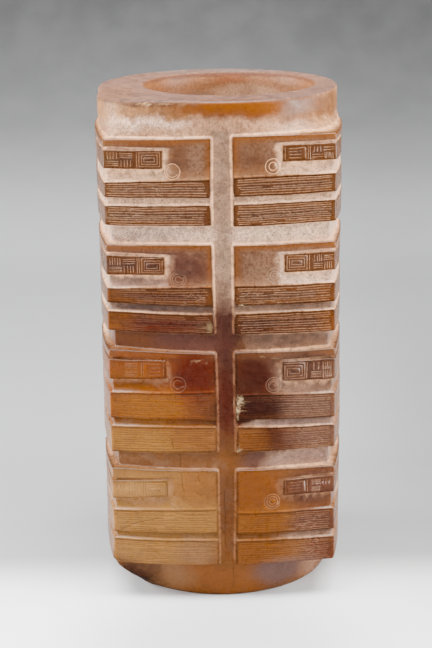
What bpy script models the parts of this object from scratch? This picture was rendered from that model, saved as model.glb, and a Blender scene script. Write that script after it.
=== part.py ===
"""Jade cong: a square tube with a round collar at each end, carved in four registers round a bored hole.

Metres, +Z up. The origin is the centre of the base, and the front face looks along -Y.
"""

import math

import bpy
import bmesh

# Heights, from the base up
BASE_COLLAR_HEIGHT = 0.0138
REGISTER_HEIGHTS = (0.0349, 0.0357, 0.0307, 0.0295)
REGISTER_GAP = 0.0064
TOP_COLLAR_HEIGHT = 0.0113
SHOULDER_HEIGHT = 0.0072

# Shares of a register's height, measured down from its top
FIELD_TOP_SHARE = 0.078
BAR_TOP_SHARE = 0.113
BAR_FOOT_SHARE = 0.305
EYE_SHARE = 0.350
UPPER_BAND_TOP_SHARES = (0.441, 0.421, 0.475, 0.472)
UPPER_BAND_FOOT_SHARE = 0.673
LOWER_BAND_TOP_SHARE = 0.757

# The square body: half its width at the edges, and how far each face swells beyond them
BODY_EDGE = 0.0383
FACE_SWELL = 0.0042

# Depths of the carving, at the edges of the body and at the middle of its faces
GAP_EDGE_DEPTH = 0.0021
GAP_FACE_DEPTH = 0.0013
EYE_FIELD_EDGE_DEPTH = 0.0011
EYE_FIELD_FACE_DEPTH = 0.0002
BAND_GROOVE_EDGE_DEPTH = 0.0009
BAND_GROOVE_FACE_DEPTH = 0.0006

# The upright groove in each face, and the carving beside it
PATTERN_SHIFT = 0.0009
UPRIGHT_TOP_WIDTH = 0.0071
UPRIGHT_FOOT_WIDTH = 0.0059
UPRIGHT_SINK = 0.0001
BAR_START = 0.0198
BAR_ROOT = 0.0030
EYE_OFFSET = 0.0164
EYE_RADIUS = 0.0025
EYE_LINE = 0.0003

# Collars, left a little square towards the front left edge
TOP_RADIUS = 0.0413
TOP_CORNER = 0.0070
BASE_RADIUS = 0.0374
BASE_FLARE = 0.0030
BASE_CORNER = 0.0075
HALFWAY_CORNER_SHARE = 0.7
CORNER_DIRECTION = math.radians(222)
CORNER_SPREAD = math.radians(35)
RIM_ROUND = 0.0009
WORN_EDGE = 0.0028
WORN_HEIGHT = 0.0042

# The bore, drilled from both ends
BORE_RADIUS = 0.0290
BORE_NARROWING = 0.0013
BORE_MOUTH = 0.0006
BORE_SHIFT_X = 0.0033
BORE_SHIFT_Y = 0.0020

FACE_STEPS = 8
BORE_STEPS = 48
EYE_STEPS = 12
SHOULDER_MIX = (0.42, 0.76, 0.94)
SHARP_ANGLE = math.radians(30)

PANELS_FOOT = BASE_COLLAR_HEIGHT
PANELS_TOP = PANELS_FOOT + sum(REGISTER_HEIGHTS) + REGISTER_GAP * (len(REGISTER_HEIGHTS) - 1)
HEIGHT = PANELS_TOP + TOP_COLLAR_HEIGHT


def face_shape(edge_depth, face_depth):
    """Half the width at the edges and at the middle of the faces, for a section cut this deep."""
    return BODY_EDGE - edge_depth, BODY_EDGE + FACE_SWELL - face_depth


PANEL = face_shape(0, 0)
CORE = face_shape(GAP_EDGE_DEPTH, GAP_FACE_DEPTH)
EYE_FIELD = face_shape(EYE_FIELD_EDGE_DEPTH, EYE_FIELD_FACE_DEPTH)
BAND_GROOVE = face_shape(BAND_GROOVE_EDGE_DEPTH, BAND_GROOVE_FACE_DEPTH)


def face_out(shape, across):
    """How far a section's face stands from the axis, at a distance across from its middle."""
    edge, middle = shape
    return middle - (middle - edge) * (across / edge) ** 2


def turned(x, y, quarter):
    """A point of the front face carried to another face by quarter turns."""
    for _ in range(quarter):
        x, y = -y, x
    return x, y


def square_ring(shape):
    """The section's outline, anticlockwise from the front left edge."""
    ring = []
    for quarter in range(4):
        for step in range(FACE_STEPS):
            across = shape[0] * (2 * step / FACE_STEPS - 1)
            ring.append(turned(across, -face_out(shape, across), quarter))
    return ring


def round_ring(radius, corner):
    """A round outline at the same bearings, standing out by corner towards the front left edge."""
    ring = []
    for x, y in square_ring(PANEL):
        bearing = math.atan2(y, x)
        off = abs(math.remainder(bearing - CORNER_DIRECTION, math.tau)) / CORNER_SPREAD
        out = radius
        if off < 1:
            out += corner * math.cos(off * math.pi / 2) ** 2
        ring.append((out * math.cos(bearing), out * math.sin(bearing)))
    return ring


def mixed(ring, other, share):
    return [
        (x + (u - x) * share, y + (v - y) * share) for (x, y), (u, v) in zip(ring, other)
    ]


def worn(ring, loss):
    """The ring with its front left edge worn back."""
    x, y = ring[0]
    back = 1 - loss / math.hypot(x, y)
    return [(x * back, y * back)] + ring[1:]


def mesh_object(name, mesh_data, collection):
    mesh = bpy.data.meshes.new(name)
    bmesh.ops.recalc_face_normals(mesh_data, faces=mesh_data.faces)
    mesh_data.to_mesh(mesh)
    mesh_data.free()
    placed = bpy.data.objects.new(name, mesh)
    collection.objects.link(placed)
    return placed


def add_prism(mesh_data, outline, low, high):
    """Extrudes a flat outline upwards from one height to another."""
    flat = mesh_data.faces.new([mesh_data.verts.new((x, y, low)) for x, y in outline])
    grown = bmesh.ops.extrude_face_region(mesh_data, geom=[flat], use_keep_orig=True)["geom"]
    raised = [item for item in grown if isinstance(item, bmesh.types.BMVert)]
    bmesh.ops.translate(mesh_data, vec=(0, 0, high - low), verts=raised)


def add_loft(mesh_data, rings):
    """Joins outlines of equal length, each a (height, points) pair, into one closed body."""
    rows = [[mesh_data.verts.new((x, y, z)) for x, y in ring] for z, ring in rings]
    for low, high in zip(rows, rows[1:]):
        for i in range(len(low)):
            j = (i + 1) % len(low)
            mesh_data.faces.new((low[i], low[j], high[j], high[i]))
    mesh_data.faces.new(rows[0][::-1])
    mesh_data.faces.new(rows[-1])


def registers():
    """The heights of each register's carving, the lowest register first."""
    foot = PANELS_FOOT
    for height, band_share in zip(REGISTER_HEIGHTS, UPPER_BAND_TOP_SHARES):
        top = foot + height
        yield {
            "top": top,
            "field_top": top - height * FIELD_TOP_SHARE,
            "bar_top": top - height * BAR_TOP_SHARE,
            "bar_foot": top - height * BAR_FOOT_SHARE,
            "eye": top - height * EYE_SHARE,
            "upper_band_top": top - height * band_share,
            "upper_band_foot": top - height * UPPER_BAND_FOOT_SHARE,
            "lower_band_top": top - height * LOWER_BAND_TOP_SHARE,
            "foot": foot,
        }
        foot = top + REGISTER_GAP


def body_rings():
    panel = square_ring(PANEL)
    core = square_ring(CORE)
    eye_field = square_ring(EYE_FIELD)
    groove = square_ring(BAND_GROOVE)
    halfway_corner = BASE_CORNER * HALFWAY_CORNER_SHARE
    rings = [
        (0, round_ring(BASE_RADIUS - RIM_ROUND, 0)),
        (RIM_ROUND, round_ring(BASE_RADIUS, 0)),
        (PANELS_FOOT / 2, round_ring(BASE_RADIUS + BASE_FLARE / 2, halfway_corner)),
        (PANELS_FOOT, round_ring(BASE_RADIUS + BASE_FLARE, BASE_CORNER)),
        (PANELS_FOOT, worn(panel, WORN_EDGE)),
        (PANELS_FOOT + WORN_HEIGHT, panel),
    ]
    for register in registers():
        if register["foot"] > PANELS_FOOT:
            rings += [
                (register["foot"], core),
                (register["foot"], panel),
            ]
        rings += [
            (register["lower_band_top"], panel),
            (register["lower_band_top"], groove),
            (register["upper_band_foot"], groove),
            (register["upper_band_foot"], panel),
            (register["upper_band_top"], panel),
            (register["upper_band_top"], eye_field),
            (register["field_top"], eye_field),
            (register["field_top"], panel),
            (register["top"], panel),
            (register["top"], core),
        ]
    collar = round_ring(TOP_RADIUS, TOP_CORNER)
    for step, share in enumerate(SHOULDER_MIX):
        height = PANELS_TOP + SHOULDER_HEIGHT * (step + 1) / (len(SHOULDER_MIX) + 1)
        rings.append((height, mixed(core, collar, share)))
    rings += [
        (PANELS_TOP + SHOULDER_HEIGHT, collar),
        (HEIGHT - RIM_ROUND, collar),
        (HEIGHT, round_ring(TOP_RADIUS - RIM_ROUND, TOP_CORNER)),
    ]
    return rings


def bar_outline(quarter):
    """The outline of a bar that wraps the edge between one face and the next."""
    points = []
    for step in range(FACE_STEPS // 2 + 1):
        start = PATTERN_SHIFT + BAR_START
        across = start + (BODY_EDGE - start) * step / (FACE_STEPS // 2)
        points.append(turned(across, -face_out(PANEL, across), quarter))
    for step in range(1, FACE_STEPS // 2 + 1):
        end = PATTERN_SHIFT - BAR_START
        across = -BODY_EDGE + (end + BODY_EDGE) * step / (FACE_STEPS // 2)
        points.append(turned(across, -face_out(PANEL, across), quarter + 1))
    root = CORE[0] - BAR_ROOT
    points.append(turned(end, -root, quarter + 1))
    points.append(turned(root, -root, quarter))
    points.append(turned(start, -root, quarter))
    return points


def add_upright(mesh_data, quarter):
    """A tapered block that cuts the upright groove of one face."""
    corners = bmesh.ops.create_cube(mesh_data, size=2)["verts"]
    foot = PANELS_FOOT / 2
    top = PANELS_TOP + UPRIGHT_SINK
    floor = CORE[1] - UPRIGHT_SINK
    for corner in corners:
        upper = corner.co.z > 0
        width = UPRIGHT_TOP_WIDTH if upper else UPRIGHT_FOOT_WIDTH
        across = PATTERN_SHIFT + corner.co.x * width / 2
        out = floor if corner.co.y > 0 else PANEL[1] + FACE_SWELL
        x, y = turned(across, -out, quarter)
        corner.co = (x, y, top if upper else foot)


def build():
    for old in list(bpy.data.objects):
        bpy.data.objects.remove(old)

    parts = bpy.data.collections.new("Jade cong")
    cutters = bpy.data.collections.new("Cutters")
    eyes = bpy.data.collections.new("Eye cutters")
    bpy.context.scene.collection.children.link(parts)
    bpy.context.scene.collection.children.link(cutters)
    cutters.children.link(eyes)
    cutters.hide_render = True

    # The stone before the fine cuts: collars, registers, gaps and shoulder
    body = bmesh.new()
    add_loft(body, body_rings())
    cong = mesh_object("jade_cong", body, parts)

    # Upright grooves down the middle of the faces
    uprights = bmesh.new()
    for quarter in range(4):
        add_upright(uprights, quarter)
    upright_cutter = mesh_object("upright_grooves", uprights, cutters)

    # Raised bars round the edges
    bars = bmesh.new()
    for register in registers():
        for quarter in range(4):
            add_prism(bars, bar_outline(quarter), register["bar_foot"], register["bar_top"])
    bar_piece = mesh_object("nose_bars", bars, cutters)

    # Incised eyes beside the bars
    for register in registers():
        for quarter in range(4):
            for side in (-1, 1):
                across = PATTERN_SHIFT + side * EYE_OFFSET
                slope = 2 * (EYE_FIELD[1] - EYE_FIELD[0]) * across / EYE_FIELD[0] ** 2
                x, y = turned(across, -face_out(EYE_FIELD, across), quarter)
                bpy.ops.mesh.primitive_torus_add(
                    major_radius=EYE_RADIUS,
                    minor_radius=EYE_LINE,
                    major_segments=EYE_STEPS,
                    minor_segments=4,
                    location=(x, y, register["eye"]),
                    rotation=(math.pi / 2, 0, math.atan(slope) + quarter * math.pi / 2),
                )
                eye = bpy.context.object
                eye.name = "eye"
                for holder in list(eye.users_collection):
                    holder.objects.unlink(eye)
                eyes.objects.link(eye)

    # The bore, wider at both mouths and narrowest halfway down
    profile = bmesh.new()
    middle = HEIGHT / 2
    waist = BORE_RADIUS - BORE_NARROWING
    mouth = BORE_RADIUS + BORE_MOUTH
    stations = (
        (0, HEIGHT + BORE_MOUTH),
        (mouth + BORE_MOUTH, HEIGHT + BORE_MOUTH),
        (BORE_RADIUS, HEIGHT - BORE_MOUTH),
        (waist, middle),
        (BORE_RADIUS, BORE_MOUTH),
        (mouth + BORE_MOUTH, -BORE_MOUTH),
        (0, -BORE_MOUTH),
    )
    points = [profile.verts.new((radius, 0, z)) for radius, z in stations]
    for start, end in zip(points, points[1:]):
        profile.edges.new((start, end))
    bore = mesh_object("bore", profile, cutters)
    bore.location = (BORE_SHIFT_X, BORE_SHIFT_Y, 0)
    spin = bore.modifiers.new("Turn", "SCREW")
    spin.steps = BORE_STEPS
    spin.render_steps = BORE_STEPS
    spin.use_merge_vertices = True
    spin.merge_threshold = 0.00001

    for name, operation, other in (
        ("Upright grooves", "DIFFERENCE", upright_cutter),
        ("Nose bars", "UNION", bar_piece),
        ("Eyes", "DIFFERENCE", eyes),
        ("Bore", "DIFFERENCE", bore),
    ):
        cut = cong.modifiers.new(name, "BOOLEAN")
        cut.operation = operation
        cut.solver = "EXACT"
        if other is eyes:
            cut.operand_type = "COLLECTION"
            cut.collection = other
        else:
            cut.object = other

    stone = bpy.data.materials.new("Jade")
    stone.use_nodes = True
    surface = stone.node_tree.nodes["Principled BSDF"]
    surface.inputs["Base Color"].default_value = (0.42, 0.19, 0.075, 1)
    surface.inputs["Roughness"].default_value = 0.34
    surface.inputs["Metallic"].default_value = 0
    cong.data.materials.append(stone)
    cong.data.shade_smooth()
    cong.data.set_sharp_from_angle(angle=SHARP_ANGLE)

    for helper in cutters.all_objects:
        helper.hide_render = True
        helper.display_type = "WIRE"


build()
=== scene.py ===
import math

import bpy
import numpy as np
from mathutils import Matrix, Vector
from mathutils.geometry import delaunay_2d_cdt


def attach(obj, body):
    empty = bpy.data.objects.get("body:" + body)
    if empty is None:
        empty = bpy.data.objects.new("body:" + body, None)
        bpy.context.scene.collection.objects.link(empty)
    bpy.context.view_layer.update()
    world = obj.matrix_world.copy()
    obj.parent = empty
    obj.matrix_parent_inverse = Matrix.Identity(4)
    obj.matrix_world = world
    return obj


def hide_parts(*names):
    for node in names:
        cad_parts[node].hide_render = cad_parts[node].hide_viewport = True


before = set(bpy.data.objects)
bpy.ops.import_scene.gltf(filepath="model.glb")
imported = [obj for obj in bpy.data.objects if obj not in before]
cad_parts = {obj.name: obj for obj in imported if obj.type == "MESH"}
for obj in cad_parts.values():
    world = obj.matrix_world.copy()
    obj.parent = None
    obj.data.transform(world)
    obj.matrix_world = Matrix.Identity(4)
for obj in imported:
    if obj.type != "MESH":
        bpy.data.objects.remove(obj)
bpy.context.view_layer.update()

# Lengths are in millimetres. The skin of the cong is unrolled: "along" runs round it from the
# middle of the front face, and "up" climbs its profile. "Across" starts at a face's middle.
MM = 0.001
SEED = 11
EDGE = 38.3
SWELL = 4.2
HEIGHT = 175.1
FOOT = 13.8
PANELS_TOP = 163.8
SHOULDER_HEIGHT = 7.2
RIM_ROUND = 0.9
RIM_LENGTH = 1.2
LEDGE_LENGTH = 3.0
LEDGE_START = RIM_LENGTH + FOOT - RIM_ROUND
BODY_START = LEDGE_START + LEDGE_LENGTH
BODY_SHIFT = BODY_START - FOOT
RIM_START = HEIGHT - RIM_ROUND + BODY_SHIFT
SKIN_TOP = RIM_START + RIM_LENGTH
HALF_ROUND = 4 * EDGE

TOP_RADIUS = 41.3
TOP_CORNER = 7.0
BASE_RADIUS = 37.4
BASE_FLARE = 3.0
CORNER_DIRECTION = math.radians(222)
CORNER_SPREAD = math.radians(35)
WEB_DIRECTION = math.radians(225)
WEB_SPREAD = math.radians(9.5)
WEB_HEIGHTS = (0, 3.5, 7.7, 11.4, 13.8)
WEB_OUT = (0.3, 3.8, 8.6, 11.7, 12.5)

GAP_EDGE_DEPTH = 2.1
GAP_FACE_DEPTH = 1.3
PANEL_CORNER = 0.7
BAR_CORNER = 0.5
FIELD_ABOVE_BAR = 1.0
REGISTERS = range(4)
LOWEST = 3

# Places across a face where the heights at the upright groove hold, and just clear of the groove
GROOVE_END = 3.5
NEAR_GROOVE = 4.0
# Waves in each carved line, as size and length, and how far from the edge they fade in
LINE_WAVES = ((0.07, 5.5), (0.04, 1.9))
WAVE_FADE = 4
# How far the other faces differ from the front one
HEIGHT_SHIFT = 0.25
BAR_END_SHIFT = 0.3
GROOVE_SHIFT = 0.2
EYE_SHIFT = 0.3

# Heights of the carved lines, the uppermost register first. Each register has a row of heights
# at the edge of the body, then a row at the upright groove.
LINES = ("top", "bar_top", "bar_foot", "upper_top", "upper_foot", "lower_top", "foot")
FRONT_LEFT = (
    ((162.99, 159.41, 153.23, 148.65, 143.66, 140.82, 134.13),
     (163.43, 159.57, 153.42, 149.72, 143.78, 141.12, 134.28)),
    ((127.86, 124.16, 117.32, 112.76, 107.71, 104.88, 98.07),
     (128.00, 123.92, 117.74, 113.43, 106.86, 103.88, 97.15)),
    ((91.53, 87.98, 80.91, 76.12, 67.04, 64.14, 54.61),
     (90.53, 87.76, 81.73, 76.70, 66.88, 64.30, 55.22)),
    ((48.84, 43.99, 37.71, 33.44, 25.16, 22.87, 13.80),
     (48.65, 45.07, 38.84, 34.41, 25.51, 22.82, 13.80)),
)
FRONT_RIGHT = (
    ((164.38, 160.81, 155.20, 150.78, 144.53, 141.80, 134.47),
     (163.84, 160.65, 155.17, 150.21, 143.89, 141.27, 133.92)),
    ((127.79, 124.37, 117.93, 113.58, 107.02, 104.25, 96.65),
     (127.74, 124.19, 118.07, 113.58, 107.00, 104.13, 97.11)),
    ((90.63, 87.02, 79.88, 74.80, 66.17, 63.31, 55.31),
     (90.70, 86.96, 80.16, 75.57, 66.94, 64.16, 55.13)),
    ((48.49, 44.85, 38.75, 32.64, 24.95, 22.17, 13.80),
     (48.65, 44.38, 38.92, 32.84, 24.97, 22.50, 13.80)),
)
BAR_ENDS = {-1: (18.9, 18.9, 19.0, 19.3), 1: (20.5, 21.0, 20.4, 20.6)}
GROOVE_HEIGHTS = (19, 37, 60, 72, 106, 126, 146, 161)
GROOVE_SIDES = {
    -1: (1.8, 2.0, 2.0, 2.0, 2.7, 3.0, 3.1, 2.9),
    1: (4.0, 4.4, 4.7, 4.4, 4.2, 4.1, 4.1, 3.9),
}
EYES = {
    -1: ((15.8, 152.5), (14.5, 116.2), (15.2, 79.6), (15.8, 36.6)),
    1: ((17.4, 153.8), (17.8, 117.2), (17.5, 78.9), (16.8, 36.8)),
}
# Each eye's rings: radius, where the ring starts and how far it runs in radians, strength
WHOLE = math.tau
EYE_CUTS = {
    -1: (
        ((2.6, 0.0, WHOLE, 1.1), (1.9, 2.2, 3.4, 0.9)),
        ((2.6, 2.0, 4.8, 0.5), (1.9, 1.5, 5.0, 0.6), (1.0, 0.6, 4.6, 0.6)),
        ((2.75, 0.0, WHOLE, 0.45), (1.5, 0.8, 4.8, 0.55)),
        ((2.7, 2.0, 3.6, 0.5), (1.9, 1.0, 4.0, 0.5), (1.2, 3.0, 4.5, 0.4)),
    ),
    1: (
        ((2.55, 0.5, 5.6, 1.5), (1.35, 0.0, WHOLE, 1.8)),
        ((2.5, 0.0, WHOLE, 0.6), (1.5, 0.0, WHOLE, 0.9), (0.7, 1.0, 4.5, 0.9)),
        ((2.7, 0.0, WHOLE, 0.6), (1.9, 0.0, WHOLE, 0.6), (1.3, 0.2, 2.8, 0.9)),
        ((2.75, 0.3, 5.8, 0.9), (1.9, 0.0, 5.6, 0.9), (1.0, 0.4, 5.0, 0.9)),
    ),
}
# Each bar's fret: its figure, how many dividing lines, the hatching of two columns from the free
# end outwards (upper and lower cell: upright, level or crossed lines, and their number), strength
FRETS = {
    -1: (
        ("boxes", 1, (("h3", "v4"), ("v4", "h3")), 1.0),
        ("spiral", 2, (("h3", "v4"), ("v5", "h4")), 1.15),
        ("ladder", 1, (("h4", "h4"), ("", "")), 0.6),
        ("boxes", 1, (("v4", "v4"), ("v3", "")), 0.6),
    ),
    1: (
        ("ladder", 2, (("v3", "h2"), ("h2", "v5")), 1.1),
        ("boxes", 1, (("v4", "h3"), ("h3", "v4")), 0.9),
        ("spiral", 1, (("v2", "h4"), ("v5", "v5")), 1.1),
        ("ladder", 1, (("x6", "x6"), ("x3", "")), 1.2),
    ),
}

rng = np.random.default_rng(SEED)


def ramp(value, start, end):
    """Rises smoothly from 0 at start to 1 at end."""
    share = np.clip((value - start) / (end - start), 0, 1)
    return share * share * (3 - 2 * share)


def bell(value, middle, spread):
    """1 at the middle, falling off softly on both sides of it."""
    return np.exp(-((value - middle) / spread) ** 2)


def corner_distance(dx, dz, radius):
    """Distance outside a block with a rounded corner, and below 0 inside it."""
    dx = dx + radius
    dz = dz + radius
    away = np.hypot(np.maximum(dx, 0), np.maximum(dz, 0))
    return away + (np.minimum(np.maximum(dx, dz), 0) - radius)


class Half:
    """One half of a face: the carving between its upright groove and an edge of the body."""

    def __init__(self, face, side, at_edge, at_groove):
        self.face = face
        self.side = side
        self.at_edge = np.array(at_edge)
        self.at_groove = np.array(at_groove)
        self.bar_ends = np.array(BAR_ENDS[side])
        self.groove = np.array(GROOVE_SIDES[side])
        self.eyes = [np.array(eye) for eye in EYES[side]]
        self.frets = FRETS[side]
        self.eye_cuts = EYE_CUTS[side]
        if face:
            self.bar_ends = self.bar_ends + rng.normal(0, BAR_END_SHIFT, len(self.bar_ends))
            self.groove = self.groove + rng.normal(0, GROOVE_SHIFT, len(self.groove))
            self.eyes = [eye + rng.normal(0, EYE_SHIFT, 2) for eye in self.eyes]
            self.frets = [FRETS[rng.choice((-1, 1))][i] for i in rng.integers(0, 3, 4)]
            self.eye_cuts = [EYE_CUTS[rng.choice((-1, 1))][i] for i in rng.integers(0, 3, 4)]
        self.phases = rng.uniform(0, math.tau, (len(REGISTERS), len(LINES), 2))

    def line(self, register, name, across):
        """Height of a carved line, at a distance across from the middle of the face."""
        i = LINES.index(name)
        inner = self.bar_ends[register] if name.startswith("bar") else GROOVE_END
        share = np.clip((EDGE - across) / (EDGE - inner), 0, 1.1)
        height = self.at_edge[register, i] * (1 - share) + self.at_groove[register, i] * share
        wave = sum(size * np.sin(across / length + phase)
                   for (size, length), phase in zip(LINE_WAVES, self.phases[register, i]))
        return height + wave * np.clip((EDGE - across) / WAVE_FADE, 0, 1)

    def groove_side(self, height):
        return np.interp(height, GROOVE_HEIGHTS, self.groove)

    def along(self, across):
        return 2 * EDGE * self.face_turn() + self.side * across

    def face_turn(self):
        """Quarter turns from the front, with the back face split between both ends."""
        if self.face == 3:
            return -1
        if self.face == 2:
            return 2 if self.side < 0 else -2
        return self.face


def make_halves():
    """The carving of all eight halves. Halves that meet at an edge share their heights there."""
    left = np.array(FRONT_LEFT)
    right = np.array(FRONT_RIGHT)
    mean = (left + right) / 2
    edges = [left[:, 0], right[:, 0]]
    for _ in range(2):
        edges.append(mean[:, 0] + rng.normal(0, HEIGHT_SHIFT, mean[:, 0].shape))
    halves = []
    for face in range(4):
        for side in (-1, 1):
            at_edge = edges[face if side < 0 else (face + 1) % 4].copy()
            if face == 0:
                inner = (left if side < 0 else right)[:, 1].copy()
            else:
                inner = mean[:, 1] + rng.normal(0, HEIGHT_SHIFT, mean[:, 1].shape)
            at_edge[LOWEST, -1] = inner[LOWEST, -1] = FOOT
            halves.append(Half(face, side, at_edge, inner))
    return halves


HALVES = make_halves()

# Constraint polylines, cut strokes and cut rings on the unrolled skin
skin_points = []
skin_edges = []
strokes = []
rings = []
CHANNELS = ("line", "crack", "ring")
RING_WIDTH = 0.34
RING_DEPTH = 0.12


def add_row(points):
    start = len(skin_points)
    skin_points.extend(points)
    skin_edges.extend((start + i, start + i + 1) for i in range(len(points) - 1))


def add_stroke(points, width, depth, channel="line"):
    """Cuts a V-shaped line with pointed ends along a path."""
    half = width / 2
    path = np.array(points, float)
    for start, end in zip(path, path[1:]):
        strokes.append((*start, *end, half, depth, channel))
    run = np.gradient(path, axis=0)
    run /= np.linalg.norm(run, axis=1)[:, None]
    side = np.stack([-run[:, 1], run[:, 0]], axis=1) * half
    tips = [path[0] - run[0] * half, path[-1] + run[-1] * half]
    for row in (path + side, path, path - side):
        add_row([tuple(tips[0]), *map(tuple, row), tuple(tips[1])])


def add_broken_stroke(points, width, depth):
    """Cuts each straight run of a path with turns as a stroke of its own."""
    for start, end in zip(points, points[1:]):
        add_stroke((start, end), width, depth)


def add_ring(along, up, radius, depth, start, sweep):
    """Cuts a round line, or an arc of one."""
    half = RING_WIDTH / 2
    rings.append((along, up, radius, half, depth, start, sweep))
    whole = 12 + round(5 * radius)
    count = max(4, round(whole * sweep / math.tau))
    turns = [start + sweep * i / count for i in range(count + 1)]
    for out in (radius - half, radius, radius + half):
        add_row([(along + out * math.cos(t), up + out * math.sin(t)) for t in turns])


# Rows of points lie at these distances outside a wall, so that it bends where it should
PANEL_ROWS = (-1.0, -0.3, -0.08, 0.2, 0.5, 0.85)
WALL_ROWS = (-0.3, 0.5)
RECESS_ROWS = (-0.6, -0.12, 0.1, 0.38)
LIP_ROWS = (-0.5, -0.12, 0.12, 0.42, 0.85)
LIP_WALL = (-0.12, 0.85)
RECESS_WALL = (-0.12, 0.38)
ROW_STEP = 2.2
ROW_INSET = 0.5


def spaced(start, end):
    """Places from start to end, about ROW_STEP apart."""
    steps = round(abs(end - start) / ROW_STEP)
    return [start + (end - start) * i / steps for i in range(steps + 1)]


def panel_rows(half, register):
    """Rows of points along the outline of a half's raised block, at set distances from it."""
    turn_at = half.groove_side(half.line(register, "top", NEAR_GROOVE)) + PANEL_CORNER
    top_centre = half.line(register, "top", turn_at) - PANEL_CORNER
    foot = half.line(register, "foot", NEAR_GROOVE)
    foot_turn_at = half.groove_side(foot) + PANEL_CORNER
    last = foot if register == LOWEST else foot + PANEL_CORNER
    turns = [math.pi / 8 * i for i in range(1, 4)]
    for out in PANEL_ROWS:
        arc = PANEL_CORNER + out
        row = [(a, half.line(register, "top", a) + out) for a in spaced(EDGE, turn_at)]
        row += [(turn_at - arc * math.sin(t), top_centre + arc * math.cos(t)) for t in turns]
        row += [(half.groove_side(h) - out, h) for h in spaced(top_centre, last)]
        if register != LOWEST:
            row += [(foot_turn_at - arc * math.cos(t), last - arc * math.sin(t)) for t in turns]
            row += [(a, half.line(register, "foot", a) - out) for a in spaced(foot_turn_at, EDGE)]
        add_row([(half.along(a), h + BODY_SHIFT) for a, h in row])


def straight_rows(half, register, name, upwards, lift=0.0):
    """Rows along a line that borders a recess, which lies above it (1) or below it (-1)."""
    start = half.groove_side(half.line(register, name, NEAR_GROOVE)) + ROW_INSET
    for out in LIP_ROWS if upwards > 0 else RECESS_ROWS:
        add_row([
            (half.along(a), half.line(register, name, a) + lift + upwards * out + BODY_SHIFT)
            for a in spaced(EDGE, start)
        ])


def bar_rows(half, register):
    """Rows of points round a raised bar, at set distances from it."""
    turn_at = half.bar_ends[register] + BAR_CORNER
    spread = spaced(EDGE, turn_at)
    top_centre = half.line(register, "bar_top", turn_at) - BAR_CORNER
    foot_centre = half.line(register, "bar_foot", turn_at) + BAR_CORNER
    turns = [math.pi / 6 * i for i in range(4)]
    for out in RECESS_ROWS:
        arc = BAR_CORNER + out
        row = [(a, half.line(register, "bar_top", a) + out) for a in spread]
        row += [(turn_at - arc * math.sin(t), top_centre + arc * math.cos(t)) for t in turns[1:]]
        row += [(turn_at - arc * math.cos(t), foot_centre - arc * math.sin(t)) for t in turns[:3]]
        row += [(a, half.line(register, "bar_foot", a) - out) for a in spread[::-1]]
        add_row([(half.along(a), h + BODY_SHIFT) for a, h in row])


BANDS = (("upper_top", "upper_foot"), ("lower_top", "foot"))
LINE_PITCH = 0.74
LINE_WIDTH = 0.34
LINE_DEPTH = 0.13
LINE_MARGIN = 0.3
LINE_POINTS = 9
# Bare height of a band, and the share of its lines that were cut in two goes
BAND_MARGIN = 0.7
BROKEN_LINES = 0.25
# How far short of the edge and of the groove the lines stop, on each side
LINE_STOPS = {-1: (0.7, 1.5), 1: (1.4, 1.2)}


def band_lines(half, register, top_name, foot_name):
    """Fine lines cut by hand along a band, each with its own start, end and strength."""
    inner = half.groove_side(half.line(register, foot_name, NEAR_GROOVE))
    middle = (EDGE + inner) / 2
    tall = half.line(register, top_name, middle) - half.line(register, foot_name, middle)
    count = int((tall - BAND_MARGIN) / LINE_PITCH)
    short_edge, short_inner = LINE_STOPS[half.side]
    for i in range(count):
        share = (i + 0.5 + rng.normal(0, 0.10)) / count
        start = EDGE - short_edge - abs(rng.normal(0, 0.5))
        end = inner + short_inner + abs(rng.normal(0, 0.9))
        path = []
        for a, sway in zip(np.linspace(start, end, LINE_POINTS), rng.normal(0, 0.06, LINE_POINTS)):
            top = half.line(register, top_name, a) - LINE_MARGIN
            foot = half.line(register, foot_name, a) + LINE_MARGIN
            path.append((half.along(a), foot + (top - foot) * share + sway + BODY_SHIFT))
        stop = len(path)
        if rng.random() < BROKEN_LINES:
            stop = int(rng.integers(4, 8))
            add_stroke(path[stop:], LINE_WIDTH * 0.9, LINE_DEPTH * 0.7)
        add_stroke(path[:stop], LINE_WIDTH * rng.uniform(0.85, 1.15), LINE_DEPTH * rng.uniform(0.6, 1.2))


FRET_WIDTH = 0.30
FRET_DEPTH = 0.13
FRET_MARGIN = 0.75
FRET_START = 0.8
FRET_FIGURE = 7.6
DIVIDER_PITCH = 0.65
BAR_MIDDLE = 28.0


def spiral(near, foot, far, top, step):
    """A squared spiral that winds inwards."""
    path = [(near, top)]
    while far - near > step * 1.2 and top - foot > step * 1.2:
        path += [(far, top), (far, foot), (near, foot), (near, top - step)]
        near, foot, far, top = near + step, foot + step, far - step, top - step
    return path


def fret_figure(figure, near, far, low, high, step):
    """The paths of a fret's squared figure."""
    if figure == "spiral":
        return [spiral(near, low, far, high, step)]
    if figure == "boxes":
        boxes = []
        for i in range(3):
            inset = step * i * 1.1
            left, foot, right, top = near + inset, low + inset, far - inset, high - inset
            boxes.append([(left, top), (right, top), (right, foot), (left, foot), (left, top)])
        return boxes
    heights = [low + (high - low) * (i + 0.5) / 4 for i in range(4)]
    rungs = [[(near + 1.4, v), (far - 1.6, v)] for v in heights]
    hook = [(far - 2.2, high - 0.2), (far, high - 0.2), (far, low + 0.2)]
    return [[(near, low), (near, high)], *rungs, hook]


def hatching_lines(cell, near, far, foot, top):
    """The upright (v), level (h) or crossed (x) lines of one cell."""
    count = int(cell[1:] or 0)
    lines = []
    for i in range(count):
        share = (i + 0.5) / count
        a = near + (far - near) * share
        v = foot + (top - foot) * share
        if cell[0] in "vx":
            lines.append([(a, foot), (a, top)])
        if cell[0] == "h" or (cell[0] == "x" and i % 2):
            lines.append([(near, v), (far, v)])
    return lines


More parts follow.
